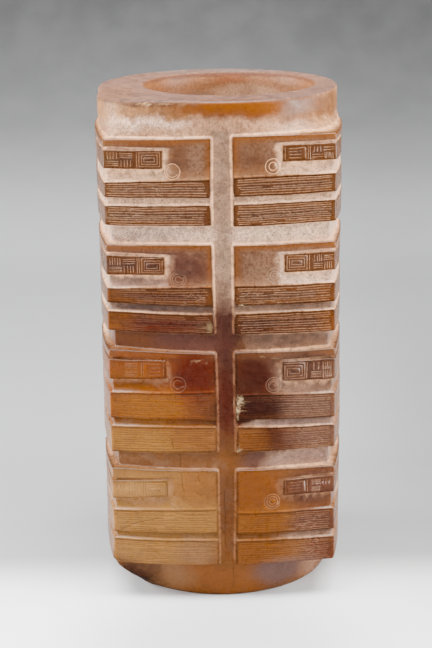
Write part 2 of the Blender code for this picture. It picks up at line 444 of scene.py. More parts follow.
def fret(half, register):
    """The fine fret on half a bar: a squared figure, dividing lines and chequered hatching."""
    end = half.bar_ends[register]
    tall = half.line(register, "bar_top", BAR_MIDDLE) - half.line(register, "bar_foot", BAR_MIDDLE)
    figure, dividers, hatching, strength = half.frets[register]
    low, high = FRET_MARGIN, tall - FRET_MARGIN
    step = (high - low) / 6 * rng.uniform(0.95, 1.05)
    far = end + FRET_FIGURE
    paths = fret_figure(figure, end + FRET_START, far, low, high, step)
    for i in range(dividers):
        a = far + 0.8 + DIVIDER_PITCH * i
        paths.append([(a, low), (a, high)])
    columns = (far + 2.1, (far + 2.1 + EDGE - 0.6) / 2, EDGE - 0.6)
    middle = (low + high) / 2
    for column, cells in enumerate(hatching):
        near, far = columns[column] + 0.15, columns[column + 1] - 0.25
        paths += hatching_lines(cells[0], near, far, middle + 0.25, high)
        paths += hatching_lines(cells[1], near, far, low, middle - 0.25)
    for path in paths:
        shaken = [(a + rng.normal(0, 0.06), v + rng.normal(0, 0.05)) for a, v in path]
        points = [
            (half.along(a), half.line(register, "bar_foot", a) + v + BODY_SHIFT)
            for a, v in shaken
        ]
        add_broken_stroke(points, FRET_WIDTH, FRET_DEPTH * strength * rng.uniform(0.7, 1.2))


def eye(half, register):
    across, height = half.eyes[register]
    for radius, start, sweep, strength in half.eye_cuts[register]:
        add_ring(half.along(across), height + BODY_SHIFT, radius, RING_DEPTH * strength, start, sweep)


for half in HALVES:
    for register in REGISTERS:
        panel_rows(half, register)
        straight_rows(half, register, "bar_top", -1, FIELD_ABOVE_BAR)
        straight_rows(half, register, "upper_top", 1)
        straight_rows(half, register, "upper_foot", -1)
        straight_rows(half, register, "lower_top", 1)
        bar_rows(half, register)
        for band in BANDS:
            band_lines(half, register, *band)
        fret(half, register)
        eye(half, register)

# Places where the fine lines were cut over and over, or scratched across
SCRIBBLE_WIDTH = 0.26
SCRIBBLE_DEPTH = 0.10
SCRIBBLES = (
    # along, height, half width, half height, strokes
    (-31.5, 138.5, 4.5, 2.2, 12),
    (-9.5, 109.5, 4.5, 2.0, 20),
    (9.0, 109.5, 4.5, 2.0, 14),
    (16.0, 107.9, 4.5, 1.0, 8),
    (30.0, 60.0, 4.5, 3.2, 22),
    (28.5, 27.6, 4.0, 2.0, 18),
    (30.5, 18.8, 3.0, 3.0, 22),
    (13.0, 72.0, 5.0, 2.5, 8),
    (-24.0, 145.6, 8.0, 1.5, 10),
    (20.0, 137.5, 10.0, 2.2, 12),
)
for along, height, wide, tall, count in SCRIBBLES:
    for _ in range(count):
        x, z = rng.uniform(-1, 1, 2) * (wide, tall) + (along, height + BODY_SHIFT)
        angle = rng.uniform(-0.9, 0.9)
        reach = rng.uniform(0.3, 0.9)
        run = (reach * math.cos(angle), reach * math.sin(angle))
        ends = ((x - run[0], z - run[1]), (x + run[0], z + run[1]))
        add_stroke(ends, SCRIBBLE_WIDTH, SCRIBBLE_DEPTH)

# Hairline cracks, as along and up
COLLAR_SHIFT = RIM_LENGTH - RIM_ROUND
CRACKS = (
    ((0.4, 41.0), (0.1, 37.0), (0.5, 32.0), (0.2, 26.0), (0.4, 20.0)),
    ((-14.6, 47.6), (-14.2, 45.2), (-14.3, 43.0), (-13.6, 41.0)),
    ((-15.6, 55.0), (-15.2, 52.5), (-15.3, 49.5)),
    ((-37.6, 25.2), (-34.8, 26.6), (-31.5, 28.4), (-28.5, 29.5), (-22.5, 31.0)),
    ((-17.9, 61.4), (-17.4, 59.0), (-16.9, 56.2)),
    ((-24.1, 63.0), (-24.5, 61.2)),
    ((-8.9, 46.8), (-8.3, 44.6)),
    ((-9.4, 40.4), (-7.6, 39.6)),
)
COLLAR_CRACKS = (
    ((3.5, 12.6), (3.3, 10.0), (3.6, 7.0), (3.4, 3.2)),
    ((25.2, 12.6), (25.4, 10.2), (25.1, 7.4)),
)
for path in CRACKS:
    add_stroke([(a, z + BODY_SHIFT) for a, z in path], 0.30, 0.07, "crack")
for path in COLLAR_CRACKS:
    add_stroke([(a, z + COLLAR_SHIFT) for a, z in path], 0.34, 0.08, "crack")

# Upright rows at the edges of the body, level rows where the profile turns, and the seam behind
EDGE_ROWS = (-0.6, -0.25, 0, 0.25, 0.6)
EDGE_ROWS_TOP = 167.2
SEAM_FROM = 19
SEAM_TO = 165
UPRIGHT_STEP = 2.5
for corner in (-3, -1, 1, 3):
    for out in EDGE_ROWS:
        heights = np.arange(BODY_START, EDGE_ROWS_TOP, UPRIGHT_STEP)
        add_row([(corner * EDGE + out, up) for up in heights])

AROUND = 176
around = np.linspace(-HALF_ROUND, HALF_ROUND, AROUND + 1)
level_rows = [RIM_LENGTH * i / 3 for i in range(1, 4)]
level_rows += [LEDGE_START - 0.5, LEDGE_START, LEDGE_START + 0.4, LEDGE_START + 1.5]
level_rows += [BODY_START, BODY_START + 0.2, BODY_START + 0.5]
level_rows += [PANELS_TOP + BODY_SHIFT + SHOULDER_HEIGHT * i / 6 for i in range(7)]
level_rows += [RIM_START, RIM_START + RIM_LENGTH / 3, RIM_START + RIM_LENGTH * 2 / 3]
for up in (*level_rows, 0.0, SKIN_TOP):
    add_row([(a, up) for a in around])
seam = sorted({0.0, SKIN_TOP, *level_rows, *np.arange(SEAM_FROM, SEAM_TO, UPRIGHT_STEP)})
for side in (-HALF_ROUND, HALF_ROUND):
    add_row([(side, up) for up in seam])

CHIPS = (
    # along, up, half width, half height, depth
    (-4.3, 99.6 + BODY_SHIFT, 1.3, 2.1, 0.45),
    (5.9, 73.4 + BODY_SHIFT, 1.5, 2.2, 0.5),
    (5.2, 70.4 + BODY_SHIFT, 0.9, 1.3, 0.3),
    (5.0, 68.0 + BODY_SHIFT, 0.35, 1.6, 0.15),
    (6.3, 109.3 + BODY_SHIFT, 0.35, 0.45, 0.2),
    (6.9, 107.2 + BODY_SHIFT, 0.6, 0.45, 0.25),
    (7.9, 106.3 + BODY_SHIFT, 0.4, 0.35, 0.2),
    (5.2, 55.8 + BODY_SHIFT, 0.6, 0.8, 0.25),
    (22.5, 142.6 + BODY_SHIFT, 1.3, 0.55, 0.3),
    (-8.6, 88.0 + BODY_SHIFT, 2.0, 0.45, 0.06),
    (-5.6, 87.2 + BODY_SHIFT, 1.0, 0.4, 0.05),
    (13.5, 89.0 + BODY_SHIFT, 1.1, 0.5, 0.05),
    (17.5, 88.2 + BODY_SHIFT, 0.8, 0.4, 0.04),
    (-25.6, SKIN_TOP - 1.1, 1.2, 0.8, 0.6),
    (-28.4, SKIN_TOP - 1.3, 0.9, 0.4, 0.07),
    (-19.0, SKIN_TOP - 1.2, 3.4, 0.28, 0.07),
    (-12.5, SKIN_TOP - 1.3, 2.2, 0.22, 0.05),
)
CHIP_POINTS = 60
for along, up, wide, tall, _ in CHIPS:
    count = int(wide * tall * CHIP_POINTS)
    spots = rng.uniform(-1.25, 1.25, (count, 2)) * (wide, tall) + (along, up)
    skin_points.extend(tuple(p) for p in spots if 0.2 < p[1] < SKIN_TOP - 0.1)

# Loose points fill the plain stretches, clear of the rows
CELL = 0.55
GRID = 2.3
LOOSENESS = 0.3


def filled_points():
    """Loose points where no row passes, spread unevenly so that no grid shows."""
    ends = np.array([(*skin_points[i], *skin_points[j]) for i, j in skin_edges])
    taken = set()
    for share in np.linspace(0, 1, 9):
        spots = ends[:, :2] * (1 - share) + ends[:, 2:] * share
        taken.update(map(tuple, np.floor(spots / CELL).astype(int)))
    loose = []
    count_along = round(2 * HALF_ROUND / GRID)
    count_up = round(SKIN_TOP / GRID)
    for i in range(1, count_along):
        for j in range(1, count_up):
            along = i + rng.uniform(-LOOSENESS, LOOSENESS)
            along = -HALF_ROUND + 2 * HALF_ROUND * along / count_along
            up = SKIN_TOP * (j + rng.uniform(-LOOSENESS, LOOSENESS)) / count_up
            cell = (math.floor(along / CELL), math.floor(up / CELL))
            near = [(cell[0] + p, cell[1] + q) for p in (-1, 0, 1) for q in (-1, 0, 1)]
            if not any(spot in taken for spot in near):
                loose.append((along, up))
    return loose


all_points = [Vector((a, float(u))) for a, u in skin_points + filled_points()]
found = delaunay_2d_cdt(all_points, skin_edges, [], 0, 1e-4, False)
flat = np.array([tuple(v) for v in found[0]])
triangles = np.array([tuple(f) for f in found[2]])

# A fixed field of gentle waves stands for the hand-ground unevenness: scale and size of each
WAVE_SIZES = ((14, 0.05), (9, 0.04), (6, 0.03), (4.0, 0.02), (3.0, 0.015), (2.2, 0.012))
GROUND_OFF = 0.12
SEAM_FADE = 6
waves = [
    (rng.normal(0, 1, 2) / scale, rng.uniform(0, math.tau), size)
    for scale, size in WAVE_SIZES
    for _ in range(3)
]


def unevenness(along, up):
    total = np.zeros_like(along)
    for (a, b), phase, size in waves:
        total += size * np.sin(a * along + b * up + phase)
    return (total - GROUND_OFF) * ramp(HALF_ROUND - np.abs(along), 0, SEAM_FADE)


def section(bearing, edge, middle):
    """Distance from the axis to a section's face, at a bearing from the face's middle."""
    bend = (middle - edge) / edge ** 2
    root = np.sqrt(np.cos(bearing) ** 2 + 4 * bend * middle * np.sin(bearing) ** 2)
    return 2 * middle / (np.cos(bearing) + root)


def profile(up):
    """Height above the base, and how far a rounded rim draws in."""
    foot_turn = np.clip(up / RIM_LENGTH, 0, 1) * math.pi / 2
    rim_turn = np.clip((up - RIM_START) / RIM_LENGTH, 0, 1) * math.pi / 2
    height = np.where(up < RIM_LENGTH, RIM_ROUND * (1 - np.cos(foot_turn)),
                      up - RIM_LENGTH + RIM_ROUND)
    height = np.where(up > LEDGE_START, FOOT, height)
    height = np.where(up > BODY_START, up - BODY_SHIFT, height)
    height = np.where(up > RIM_START, HEIGHT - RIM_ROUND * (1 - np.sin(rim_turn)), height)
    drawn_in = RIM_ROUND * (1 - np.sin(foot_turn)) + RIM_ROUND * (1 - np.cos(rim_turn))
    return height, drawn_in


# Where pale lips that are partly painted highlight, dark lines and painted shade under the panels run
# beside a wall, as distance from it and spread
PANEL_LIP = (0.38, 0.32)
BAR_LIP = (0.35, 0.30)
RECESS_LIP = (0.16, 0.26)
INNER_DARK = (0.20, 0.40)
GAP_CORNER_DARK = (0.25, 0.30)
PANEL_SHADOW = (0.4, 0.9)
# How strong they are
TOP_LIP = 0.55
FOOT_LIP = 0.3
RECESS_LIPS = 0.8
GAP_CORNERS = 0.7
PANEL_SHADOWS = 0.65
# Depths of the recesses: the eye field deepens towards the edge, the groove towards it a little
FIELD_END_DEPTH = 0.55
FIELD_EDGE_DEPTH = 0.62
FIELD_FOOT_DEPTH = 0.26
GROOVE_DEPTH = 0.72
GROOVE_EDGE_DEPTH = 0.38
NO_GAP = 5
TINY = 0.01


def raise_to(field, spots, value):
    """Lifts a field at some spots to at least a value."""
    field[spots] = np.maximum(field[spots], value)


def carve_block(half, register, a, h, margin):
    """The recesses of a raised block: their depth, and what the material reads there."""
    bar_top, bar_foot, upper_top, upper_foot, lower_top = (
        half.line(register, name, a) for name in LINES[1:-1]
    )
    end = half.bar_ends[register]
    from_bar = corner_distance(end - a, np.maximum(h - bar_top, bar_foot - h), BAR_CORNER)
    bar = 1 - ramp(from_bar, *RECESS_WALL)

    # The eye field, deepest at the edge of the body
    field = 1 - ramp(h - bar_top - FIELD_ABOVE_BAR, -RECESS_WALL[1], -RECESS_WALL[0])
    field *= ramp(h - upper_top, *LIP_WALL)
    deep = FIELD_END_DEPTH * ramp(a, end - 4.5, end + 0.3)
    deep = deep + FIELD_EDGE_DEPTH * ramp(a, end, EDGE) ** 1.3
    low = 1 - ramp(h, upper_top + 0.5, upper_top + 7)
    deep = np.maximum(deep, FIELD_FOOT_DEPTH * low)
    below = np.clip((bar_foot - h) / (bar_foot - upper_top), 0, 1)
    field_cut = field * deep * (1 - bar) * (1 - 0.15 * below)
    under = field * (1 - bar) * (h < bar_foot) * ramp(a, end - 1.5, end + 0.5)
    # Painted shade just under the bar, fading out down the eye field
    painted_shade = under * (1 - ramp(below, 0.05, 0.65))

    # The groove between the bands
    groove = 1 - ramp(h - upper_foot, -RECESS_WALL[1], -RECESS_WALL[0])
    groove *= ramp(h - lower_top, *LIP_WALL)
    below = np.clip((upper_foot - h) / (upper_foot - lower_top), 0, 1)
    groove_cut = groove * (GROOVE_DEPTH + GROOVE_EDGE_DEPTH * (a / EDGE) ** 2) * (1 - 0.12 * below)
    # Painted shade just under the upper band, fading out down the groove
    painted_shade = np.maximum(painted_shade, groove * (1 - ramp(below, 0.1, 0.75)))

    cut = np.maximum(field_cut, groove_cut)
    # Pale lips round the bar and along the recess edges: partly pale skin, partly painted highlight
    rim = bell(from_bar, *BAR_LIP) * ramp(field_cut + bar, 0.1, 0.4)
    for low, deep in ((upper_top, field_cut), (lower_top, groove_cut)):
        rim = np.maximum(rim, bell(h - low, *RECESS_LIP) * ramp(deep, 0.02, 0.2))

    # How far each raised part reaches in from where it drops
    margin = np.where(h < lower_top, np.minimum(margin, lower_top - h), margin)
    band = (h > upper_foot) & (h < upper_top)
    band_margin = np.minimum(upper_top - h, h - upper_foot)
    margin = np.where(band, np.minimum(margin, band_margin), margin)
    margin = np.where(from_bar < 0, np.minimum(margin, -from_bar), margin)
    level = 1 - ramp(cut, 0.05, 0.4)
    return {
        "cut": cut,
        "recess": np.maximum(ramp(field_cut, 0.12, 0.6), ramp(groove_cut, 0.1, 0.55)),
        "rim": rim * RECESS_LIPS,
        "edge": bell(margin, *INNER_DARK) * level,
        "inner": ramp(margin, 0.3, 3.2) * level,
        "cheek": ramp(h - upper_top, -0.2, 0.3) * ramp(from_bar, -0.1, 0.3),
        "painted_shade": painted_shade,
    }


def carve(along, up):
    """How deep the carving goes at each point of the unrolled skin, and what shows there."""
    turns = np.rint(along / (2 * EDGE)).astype(int)
    across = along - 2 * EDGE * turns
    out = np.abs(across)
    height = up - BODY_SHIFT
    body = (up > BODY_START - TINY) & (height < PANELS_TOP + 2)
    raised, cut = np.zeros((2, len(along)))
    names = ("recess", "rim", "edge", "inner", "upright", "cheek", "painted_shade")
    marks = {name: np.zeros_like(along) for name in names}
    for half in HALVES:
        here = np.nonzero((turns % 4 == half.face) & (across * half.side >= 0) & body)[0]
        a, h = out[here], height[here]
        side = half.groove_side(h)
        marks["upright"][here] = ramp(side - a, -0.2, 0.8)
        for register in REGISTERS:
            top = half.line(register, "top", a)
            foot = half.line(register, "foot", a)
            if register == LOWEST:
                # The lowest block stands on the ledge, with no gap and no lip below it
                foot = foot - NO_GAP
            away = corner_distance(side - a, np.maximum(h - top, foot - h), PANEL_CORNER)
            block = 1 - ramp(away, *WALL_ROWS)
            raise_to(raised, here, block)
            # A pale lip round the block, partly pale skin and partly painted highlight, weaker under its
            # foot and above the uppermost block
            lip = bell(away, *PANEL_LIP) * (1 - (1 - FOOT_LIP) * (h < foot))
            if register == 0:
                lip = lip * (1 - (1 - TOP_LIP) * (h > top))
            raise_to(marks["rim"], here, lip)
            if register != LOWEST:
                # Painted shade on the gap just under the block's foot
                under = bell(foot - h, *PANEL_SHADOW) * (h < foot) * (1 - block)
                raise_to(marks["painted_shade"], here, under * PANEL_SHADOWS)
            inside = away < 0.1
            if inside.any():
                shown = carve_block(half, register, a[inside], h[inside], -away[inside])
                raise_to(cut, here[inside], shown.pop("cut"))
                for name, value in shown.items():
                    raise_to(marks[name], here[inside], value)
    corner = bell(EDGE - out, *GAP_CORNER_DARK) * (1 - raised) * body
    marks["edge"] = np.maximum(marks["edge"], corner * GAP_CORNERS)
    recess = np.where(body, np.maximum(marks["recess"], 1 - raised), 1.0)
    marks["recess"] = np.where(up < BODY_START - TINY, 0.0, recess)
    return turns, across, raised, cut, marks


def cut_strokes(along, up):
    """Depth and share of the cut lines at each point."""
    depth = np.zeros_like(along)
    shown = {name: np.zeros_like(along) for name in CHANNELS}
    order = np.argsort(up)
    ordered = up[order]
    for u0, s0, u1, s1, half, deep, channel in strokes:
        low = np.searchsorted(ordered, min(s0, s1) - half)
        high = np.searchsorted(ordered, max(s0, s1) + half)
        near = order[low:high]
        near = near[(along[near] > min(u0, u1) - half) & (along[near] < max(u0, u1) + half)]
        run = np.array((u1 - u0, s1 - s0))
        share = ((along[near] - u0) * run[0] + (up[near] - s0) * run[1]) / (run @ run)
        share = np.clip(share, 0, 1)
        away = np.hypot(along[near] - u0 - run[0] * share, up[near] - s0 - run[1] * share)
        amount = np.clip(1 - away / half, 0, 1)
        raise_to(depth, near, amount * deep)
        raise_to(shown[channel], near, amount)
    for u0, s0, radius, half, deep, start, sweep in rings:
        reach = radius + half
        near = np.nonzero((np.abs(along - u0) < reach) & (np.abs(up - s0) < reach))[0]
        away = np.hypot(along[near] - u0, up[near] - s0)
        turn = np.arctan2(up[near] - s0, along[near] - u0)
        within = ((turn - start + 0.02) % math.tau) <= sweep + 0.04
        amount = np.clip(1 - np.abs(away - radius) / half, 0, 1) * within
        raise_to(depth, near, amount * deep)
        raise_to(shown["ring"], near, amount * deep / RING_DEPTH)
    return depth, shown


# Waves that make a chip's outline ragged, as size and how fast they run along and up
CHIP_WAVES = ((0.26, 5.3, 2.1), (0.2, 3.1, -6.7), (0.14, 9.7, 8.3))
FULL_CHIP = 0.25


def chipped(along, up):
    """Depth and share of the chips at each point."""
    depth = np.zeros_like(along)
    shown = np.zeros_like(along)
    ragged = sum(size * np.sin(along * a + up * b) for size, a, b in CHIP_WAVES)
    rough = 0.75 + 0.25 * np.sin(along * 7.1 + up * 3.9) * np.sin(up * 6.3 - along * 2.2)
    for u0, s0, wide, tall, deep in CHIPS:
        away = np.hypot((along - u0) / wide, (up - s0) / tall)
        inside = 1 - ramp(away + ragged, 0.6, 1.0)
        depth = np.maximum(depth, inside * deep * rough)
        shown = np.maximum(shown, inside * min(1, deep / FULL_CHIP))
    return depth, shown


def collars(height, heading):
    """Radii of the upper collar with its less round corner, and of the base collar with its web."""
    off = np.abs((heading - CORNER_DIRECTION + math.pi) % math.tau - math.pi)
    corner = np.where(off < CORNER_SPREAD, np.cos(off / CORNER_SPREAD * math.pi / 2) ** 2, 0)
    off = (heading - WEB_DIRECTION + math.pi) % math.tau - math.pi
    web = np.interp(height, WEB_HEIGHTS, WEB_OUT) * bell(off, 0, WEB_SPREAD)
    base = BASE_RADIUS + BASE_FLARE * np.clip(height / FOOT, 0, 1) + web
    return TOP_RADIUS + TOP_CORNER * corner, base


# How much is ground off the edges of the body, its worn lower front left corner and its foot
EDGE_LOSS, EDGE_REACH = 0.17, 0.6
CORNER_LOSS, CORNER_RISE, CORNER_REACH = 1.3, 3.5, 4
FOOT_LOSS, FOOT_REACH = 0.14, 0.5


def wrap(along, up):
    """Points of the stone in millimetres, and what the material reads there."""
    turns, across, raised, cut, marks = carve(along, up)
    height, drawn_in = profile(up)
    bearing = np.arctan2(across, EDGE + SWELL * (1 - (across / EDGE) ** 2))
    heading = -math.pi / 2 + bearing + turns * math.pi / 2
    sunk = 1 - raised
    body = section(bearing, EDGE - GAP_EDGE_DEPTH * sunk, EDGE + SWELL - GAP_FACE_DEPTH * sunk)
    slope = np.arctan(2 * SWELL * across / EDGE ** 2)
    lean = 1 / np.cos(bearing - slope)
    depth, lines = cut_strokes(along, up)
    dent, chip = chipped(along, up)
    body = body - (cut + depth + dent) * lean

    to_edge = EDGE - np.abs(across)
    body = body - EDGE_LOSS * np.clip(1 - to_edge / EDGE_REACH, 0, 1) ** 2
    worn = CORNER_LOSS * np.clip(1 - (height - FOOT) / CORNER_RISE, 0, 1) ** 1.6
    body = body - worn * np.clip(1 - np.abs(along + EDGE) / CORNER_REACH, 0, 1) ** 1.5
    body = body - FOOT_LOSS * np.clip(1 - (up - BODY_START) / FOOT_REACH, 0, 1) ** 2

    top_collar, base_collar = collars(height, heading)
    climb = np.clip((height - PANELS_TOP) / SHOULDER_HEIGHT, 0, 1)
    share = 1 - (1 - climb) ** 2
    upper = body * (1 - share) + (top_collar - dent) * share
    ledge = np.clip((up - LEDGE_START) / LEDGE_LENGTH, 0, 1)
    radius = np.where(up > BODY_START, upper, base_collar * (1 - ledge) + body * ledge)
    radius = radius - drawn_in + unevenness(along, up) * np.clip(up / 3, 0, 1)
    points = np.stack([radius * np.cos(heading), radius * np.sin(heading), height], axis=1)
    marks |= {"chip": chip, "bore": np.zeros_like(along), **lines}
    return points, marks


# The bore's middle and radius at the upper end, at its waist and at the base
BORE_TOP = (4.0, 2.5, 29.6)
BORE_WAIST = (3.3, 2.0, 27.9)
BORE_FOOT = (2.6, 1.5, 29.5)
BORE_ROWS = 44
BORE_STEP = 0.12
MOUTH = 0.5
# Rings of the upper end face and of the base, as shares of their width
END_SHARES = (0, 0.04, 0.3, 0.6, 0.85, 0.97, 1)
END_SWELL = 0.10
BASE_SHARES = (0, 0.05, 0.5, 0.95, 1)
# Points in the same cell of a grid with so many cells to a metre become one
MERGE_GRID = 2e5


def bore_ring(height, headings):
    """A ring of the bore, which was drilled from both ends and is narrowest where they meet."""
    upper = height > HEIGHT / 2
    share = abs(height / HEIGHT - 0.5) * 2
    end = BORE_TOP if upper else BORE_FOOT
    x, y, radius = (w * (1 - share) + e * share for w, e in zip(BORE_WAIST, end))
    step = BORE_STEP if upper else 0.0
    turning = 0.05 * math.sin(height * 0.9) + 0.04 * math.sin(height * 2.3 + 1)
    wall = radius + step + turning + 0.06 * np.sin(3 * headings + height / 30)
    return np.stack([x + wall * np.cos(headings), y + wall * np.sin(headings),
                     np.full_like(headings, height)], axis=1)


def mouth_ring(ring, end, height):
    """The bore's mouth at an end face, wider than the bore by its softened corner."""
    x, y, radius = end
    wide = ring.copy()
    wide[:, :2] = (x, y) + (ring[:, :2] - (x, y)) * (1 + MOUTH / radius)
    wide[:, 2] = height
    return wide


def inner_rings(top, foot):
    """Rings over the upper end face, down the bore and out over the base."""
    headings = np.arctan2(top[:, 1], top[:, 0])
    shares = np.linspace(0, 1, BORE_ROWS)
    bore = [bore_ring((HEIGHT - MOUTH) * (1 - s) + MOUTH * s, headings) for s in shares]
    inner = mouth_ring(bore[0], BORE_TOP, HEIGHT)
    end_face = []
    for share in END_SHARES:
        ring = top * (1 - share) + inner * share
        swell = END_SWELL * math.sin(math.pi * share)
        ring[:, 2] -= swell * (0.5 + 0.5 * np.sin(headings * 3 + 1 + share * 2))
        end_face.append(ring)
    last = mouth_ring(bore[-1], BORE_FOOT, 0)
    return end_face + bore + [last * (1 - share) + foot * share for share in BASE_SHARES]


def build_stone():
    """Joins the carved skin, both end faces and the bore into one closed mesh."""
    skin, marks = wrap(flat[:, 0], flat[:, 1])
    points = [skin]
    faces = [triangles]
    values = {name: [mark] for name, mark in marks.items()}
    top, _ = wrap(around[:-1], np.full(AROUND, SKIN_TOP))
    foot, _ = wrap(around[:-1], np.full(AROUND, 0.0))
    rows = inner_rings(top, foot)
    bore_rows = range(len(END_SHARES), len(END_SHARES) + BORE_ROWS)
    for i, row in enumerate(rows):
        points.append(row)
        shown = {"recess": True, "bore": i in bore_rows, "edge": i == 1}
        for name in values:
            values[name].append(np.full(AROUND, float(shown.get(name, False))))
    i = np.arange(AROUND)
    j = (i + 1) % AROUND
    for r in range(len(rows) - 1):
        start = len(skin) + r * AROUND
        after = start + AROUND
        faces.append(np.stack([start + i, start + j, after + j], axis=1))
        faces.append(np.stack([start + i, after + j, after + i], axis=1))
    points = np.concatenate(points) * MM
    faces = np.concatenate(faces)

    # Points that share a place along the seams become one
    keys = np.rint(points * MERGE_GRID).astype(np.int64)
    _, first, same = np.unique(keys, axis=0, return_index=True, return_inverse=True)
    faces = same.reshape(-1)[faces]
    whole = (faces[:, 0] != faces[:, 1]) & (faces[:, 1] != faces[:, 2]) & (faces[:, 0] != faces[:, 2])
    mesh = bpy.data.meshes.new("jade_cong_carved")
    mesh.from_pydata(points[first].tolist(), [], faces[whole].tolist())
    for name, parts in values.items():
        mark = mesh.attributes.new(name, "FLOAT", "POINT")
        mark.data.foreach_set("value", np.concatenate(parts)[first].astype(np.float32))
    mesh.shade_smooth()
    stone = bpy.data.objects.new("jade_cong_carved", mesh)
    bpy.context.scene.collection.objects.link(stone)
    return stone


stone = build_stone()


class Nodes:
    """Short names for the shader nodes that the materials are built from."""

    def __init__(self, material):
        material.use_nodes = True
        self.tree = material.node_tree
        self.surface = self.tree.nodes["Principled BSDF"]

    def add(self, kind, inputs=(), **settings):
        node = self.tree.nodes.new(kind)
        for name, value in settings.items():
            setattr(node, name, value)
        for key, value in dict(inputs).items():
            self.feed(node.inputs[key], value)
        return node

    def feed(self, socket, value):
        if isinstance(value, bpy.types.NodeSocket):
            self.tree.links.new(value, socket)
        else:
            socket.default_value = value

    def math(self, operation, first, second, clamp=False):
        node = self.add("ShaderNodeMath", {0: first, 1: second}, operation=operation)
        node.use_clamp = clamp
        return node.outputs[0]

    def times(self, first, second, clamp=False):
        return self.math("MULTIPLY", first, second, clamp)

    def plus(self, first, second, clamp=False):
        return self.math("ADD", first, second, clamp)

    def mark(self, name):
        return self.add("ShaderNodeAttribute", attribute_name=name).outputs["Fac"]

    def noise(self, vector, scale, detail, roughness=0.5, distortion=0.0):
        node = self.add("ShaderNodeTexNoise", {
            "Vector": vector, "Scale": scale, "Detail": detail, "Roughness": roughness,
            "Distortion": distortion,
        })
        return node.outputs["Fac"]

    def axis(self, vector, name):
        return self.add("ShaderNodeSeparateXYZ", {0: vector}).outputs[name]

    def span(self, value, low, high, to_low=0.0, to_high=1.0):
        """Turns a range of values into another one, softly at both ends."""
        node = self.add("ShaderNodeMapRange", {
            "Value": value, "From Min": low, "From Max": high, "To Min": to_low, "To Max": to_high,
        })
        node.interpolation_type = "SMOOTHSTEP"
        return node.outputs["Result"]

    def mix(self, share, first, second, blend="MIX"):
        node = self.add("ShaderNodeMix", data_type="RGBA", blend_type=blend)
        self.feed(node.inputs[0], share)
        self.feed(node.inputs[6], first)
        self.feed(node.inputs[7], second)
        return node.outputs[2]

    def vector(self, operation, first, second):
        node = self.add("ShaderNodeVectorMath", {0: first, 1: second}, operation=operation)
        return node.outputs["Vector"]

    def shade(self, share, colour, factor):
        """Darkens a colour by a factor, as far as share says."""
        return self.mix(share, colour, (factor, factor, factor, 1), "MULTIPLY")

    def patch(self, place, centre, reach, inside=0.55):
        """1 inside a soft ellipsoid and 0 outside it."""
        scaled = self.vector("DIVIDE", self.vector("SUBTRACT", place, centre), reach)
        length = self.add("ShaderNodeVectorMath", {0: scaled}, operation="LENGTH")
        return self.span(length.outputs["Value"], inside, 1.3, 1.0, 0.0)

    def patches(self, place, colour, rows):
        """Lays rows of soft patches over a colour, the last on top."""
        for centre, reach, stain, strength in rows:
            share = self.times(self.patch(place, centre, reach), strength)
            colour = self.mix(share, colour, (*stain, 1))
        return colour

    def added(self, place, value, rows):
        """Adds rows of soft patches to a value."""
        for centre, reach, amount in rows:
            value = self.plus(value, self.times(self.patch(place, centre, reach), amount))
        return value
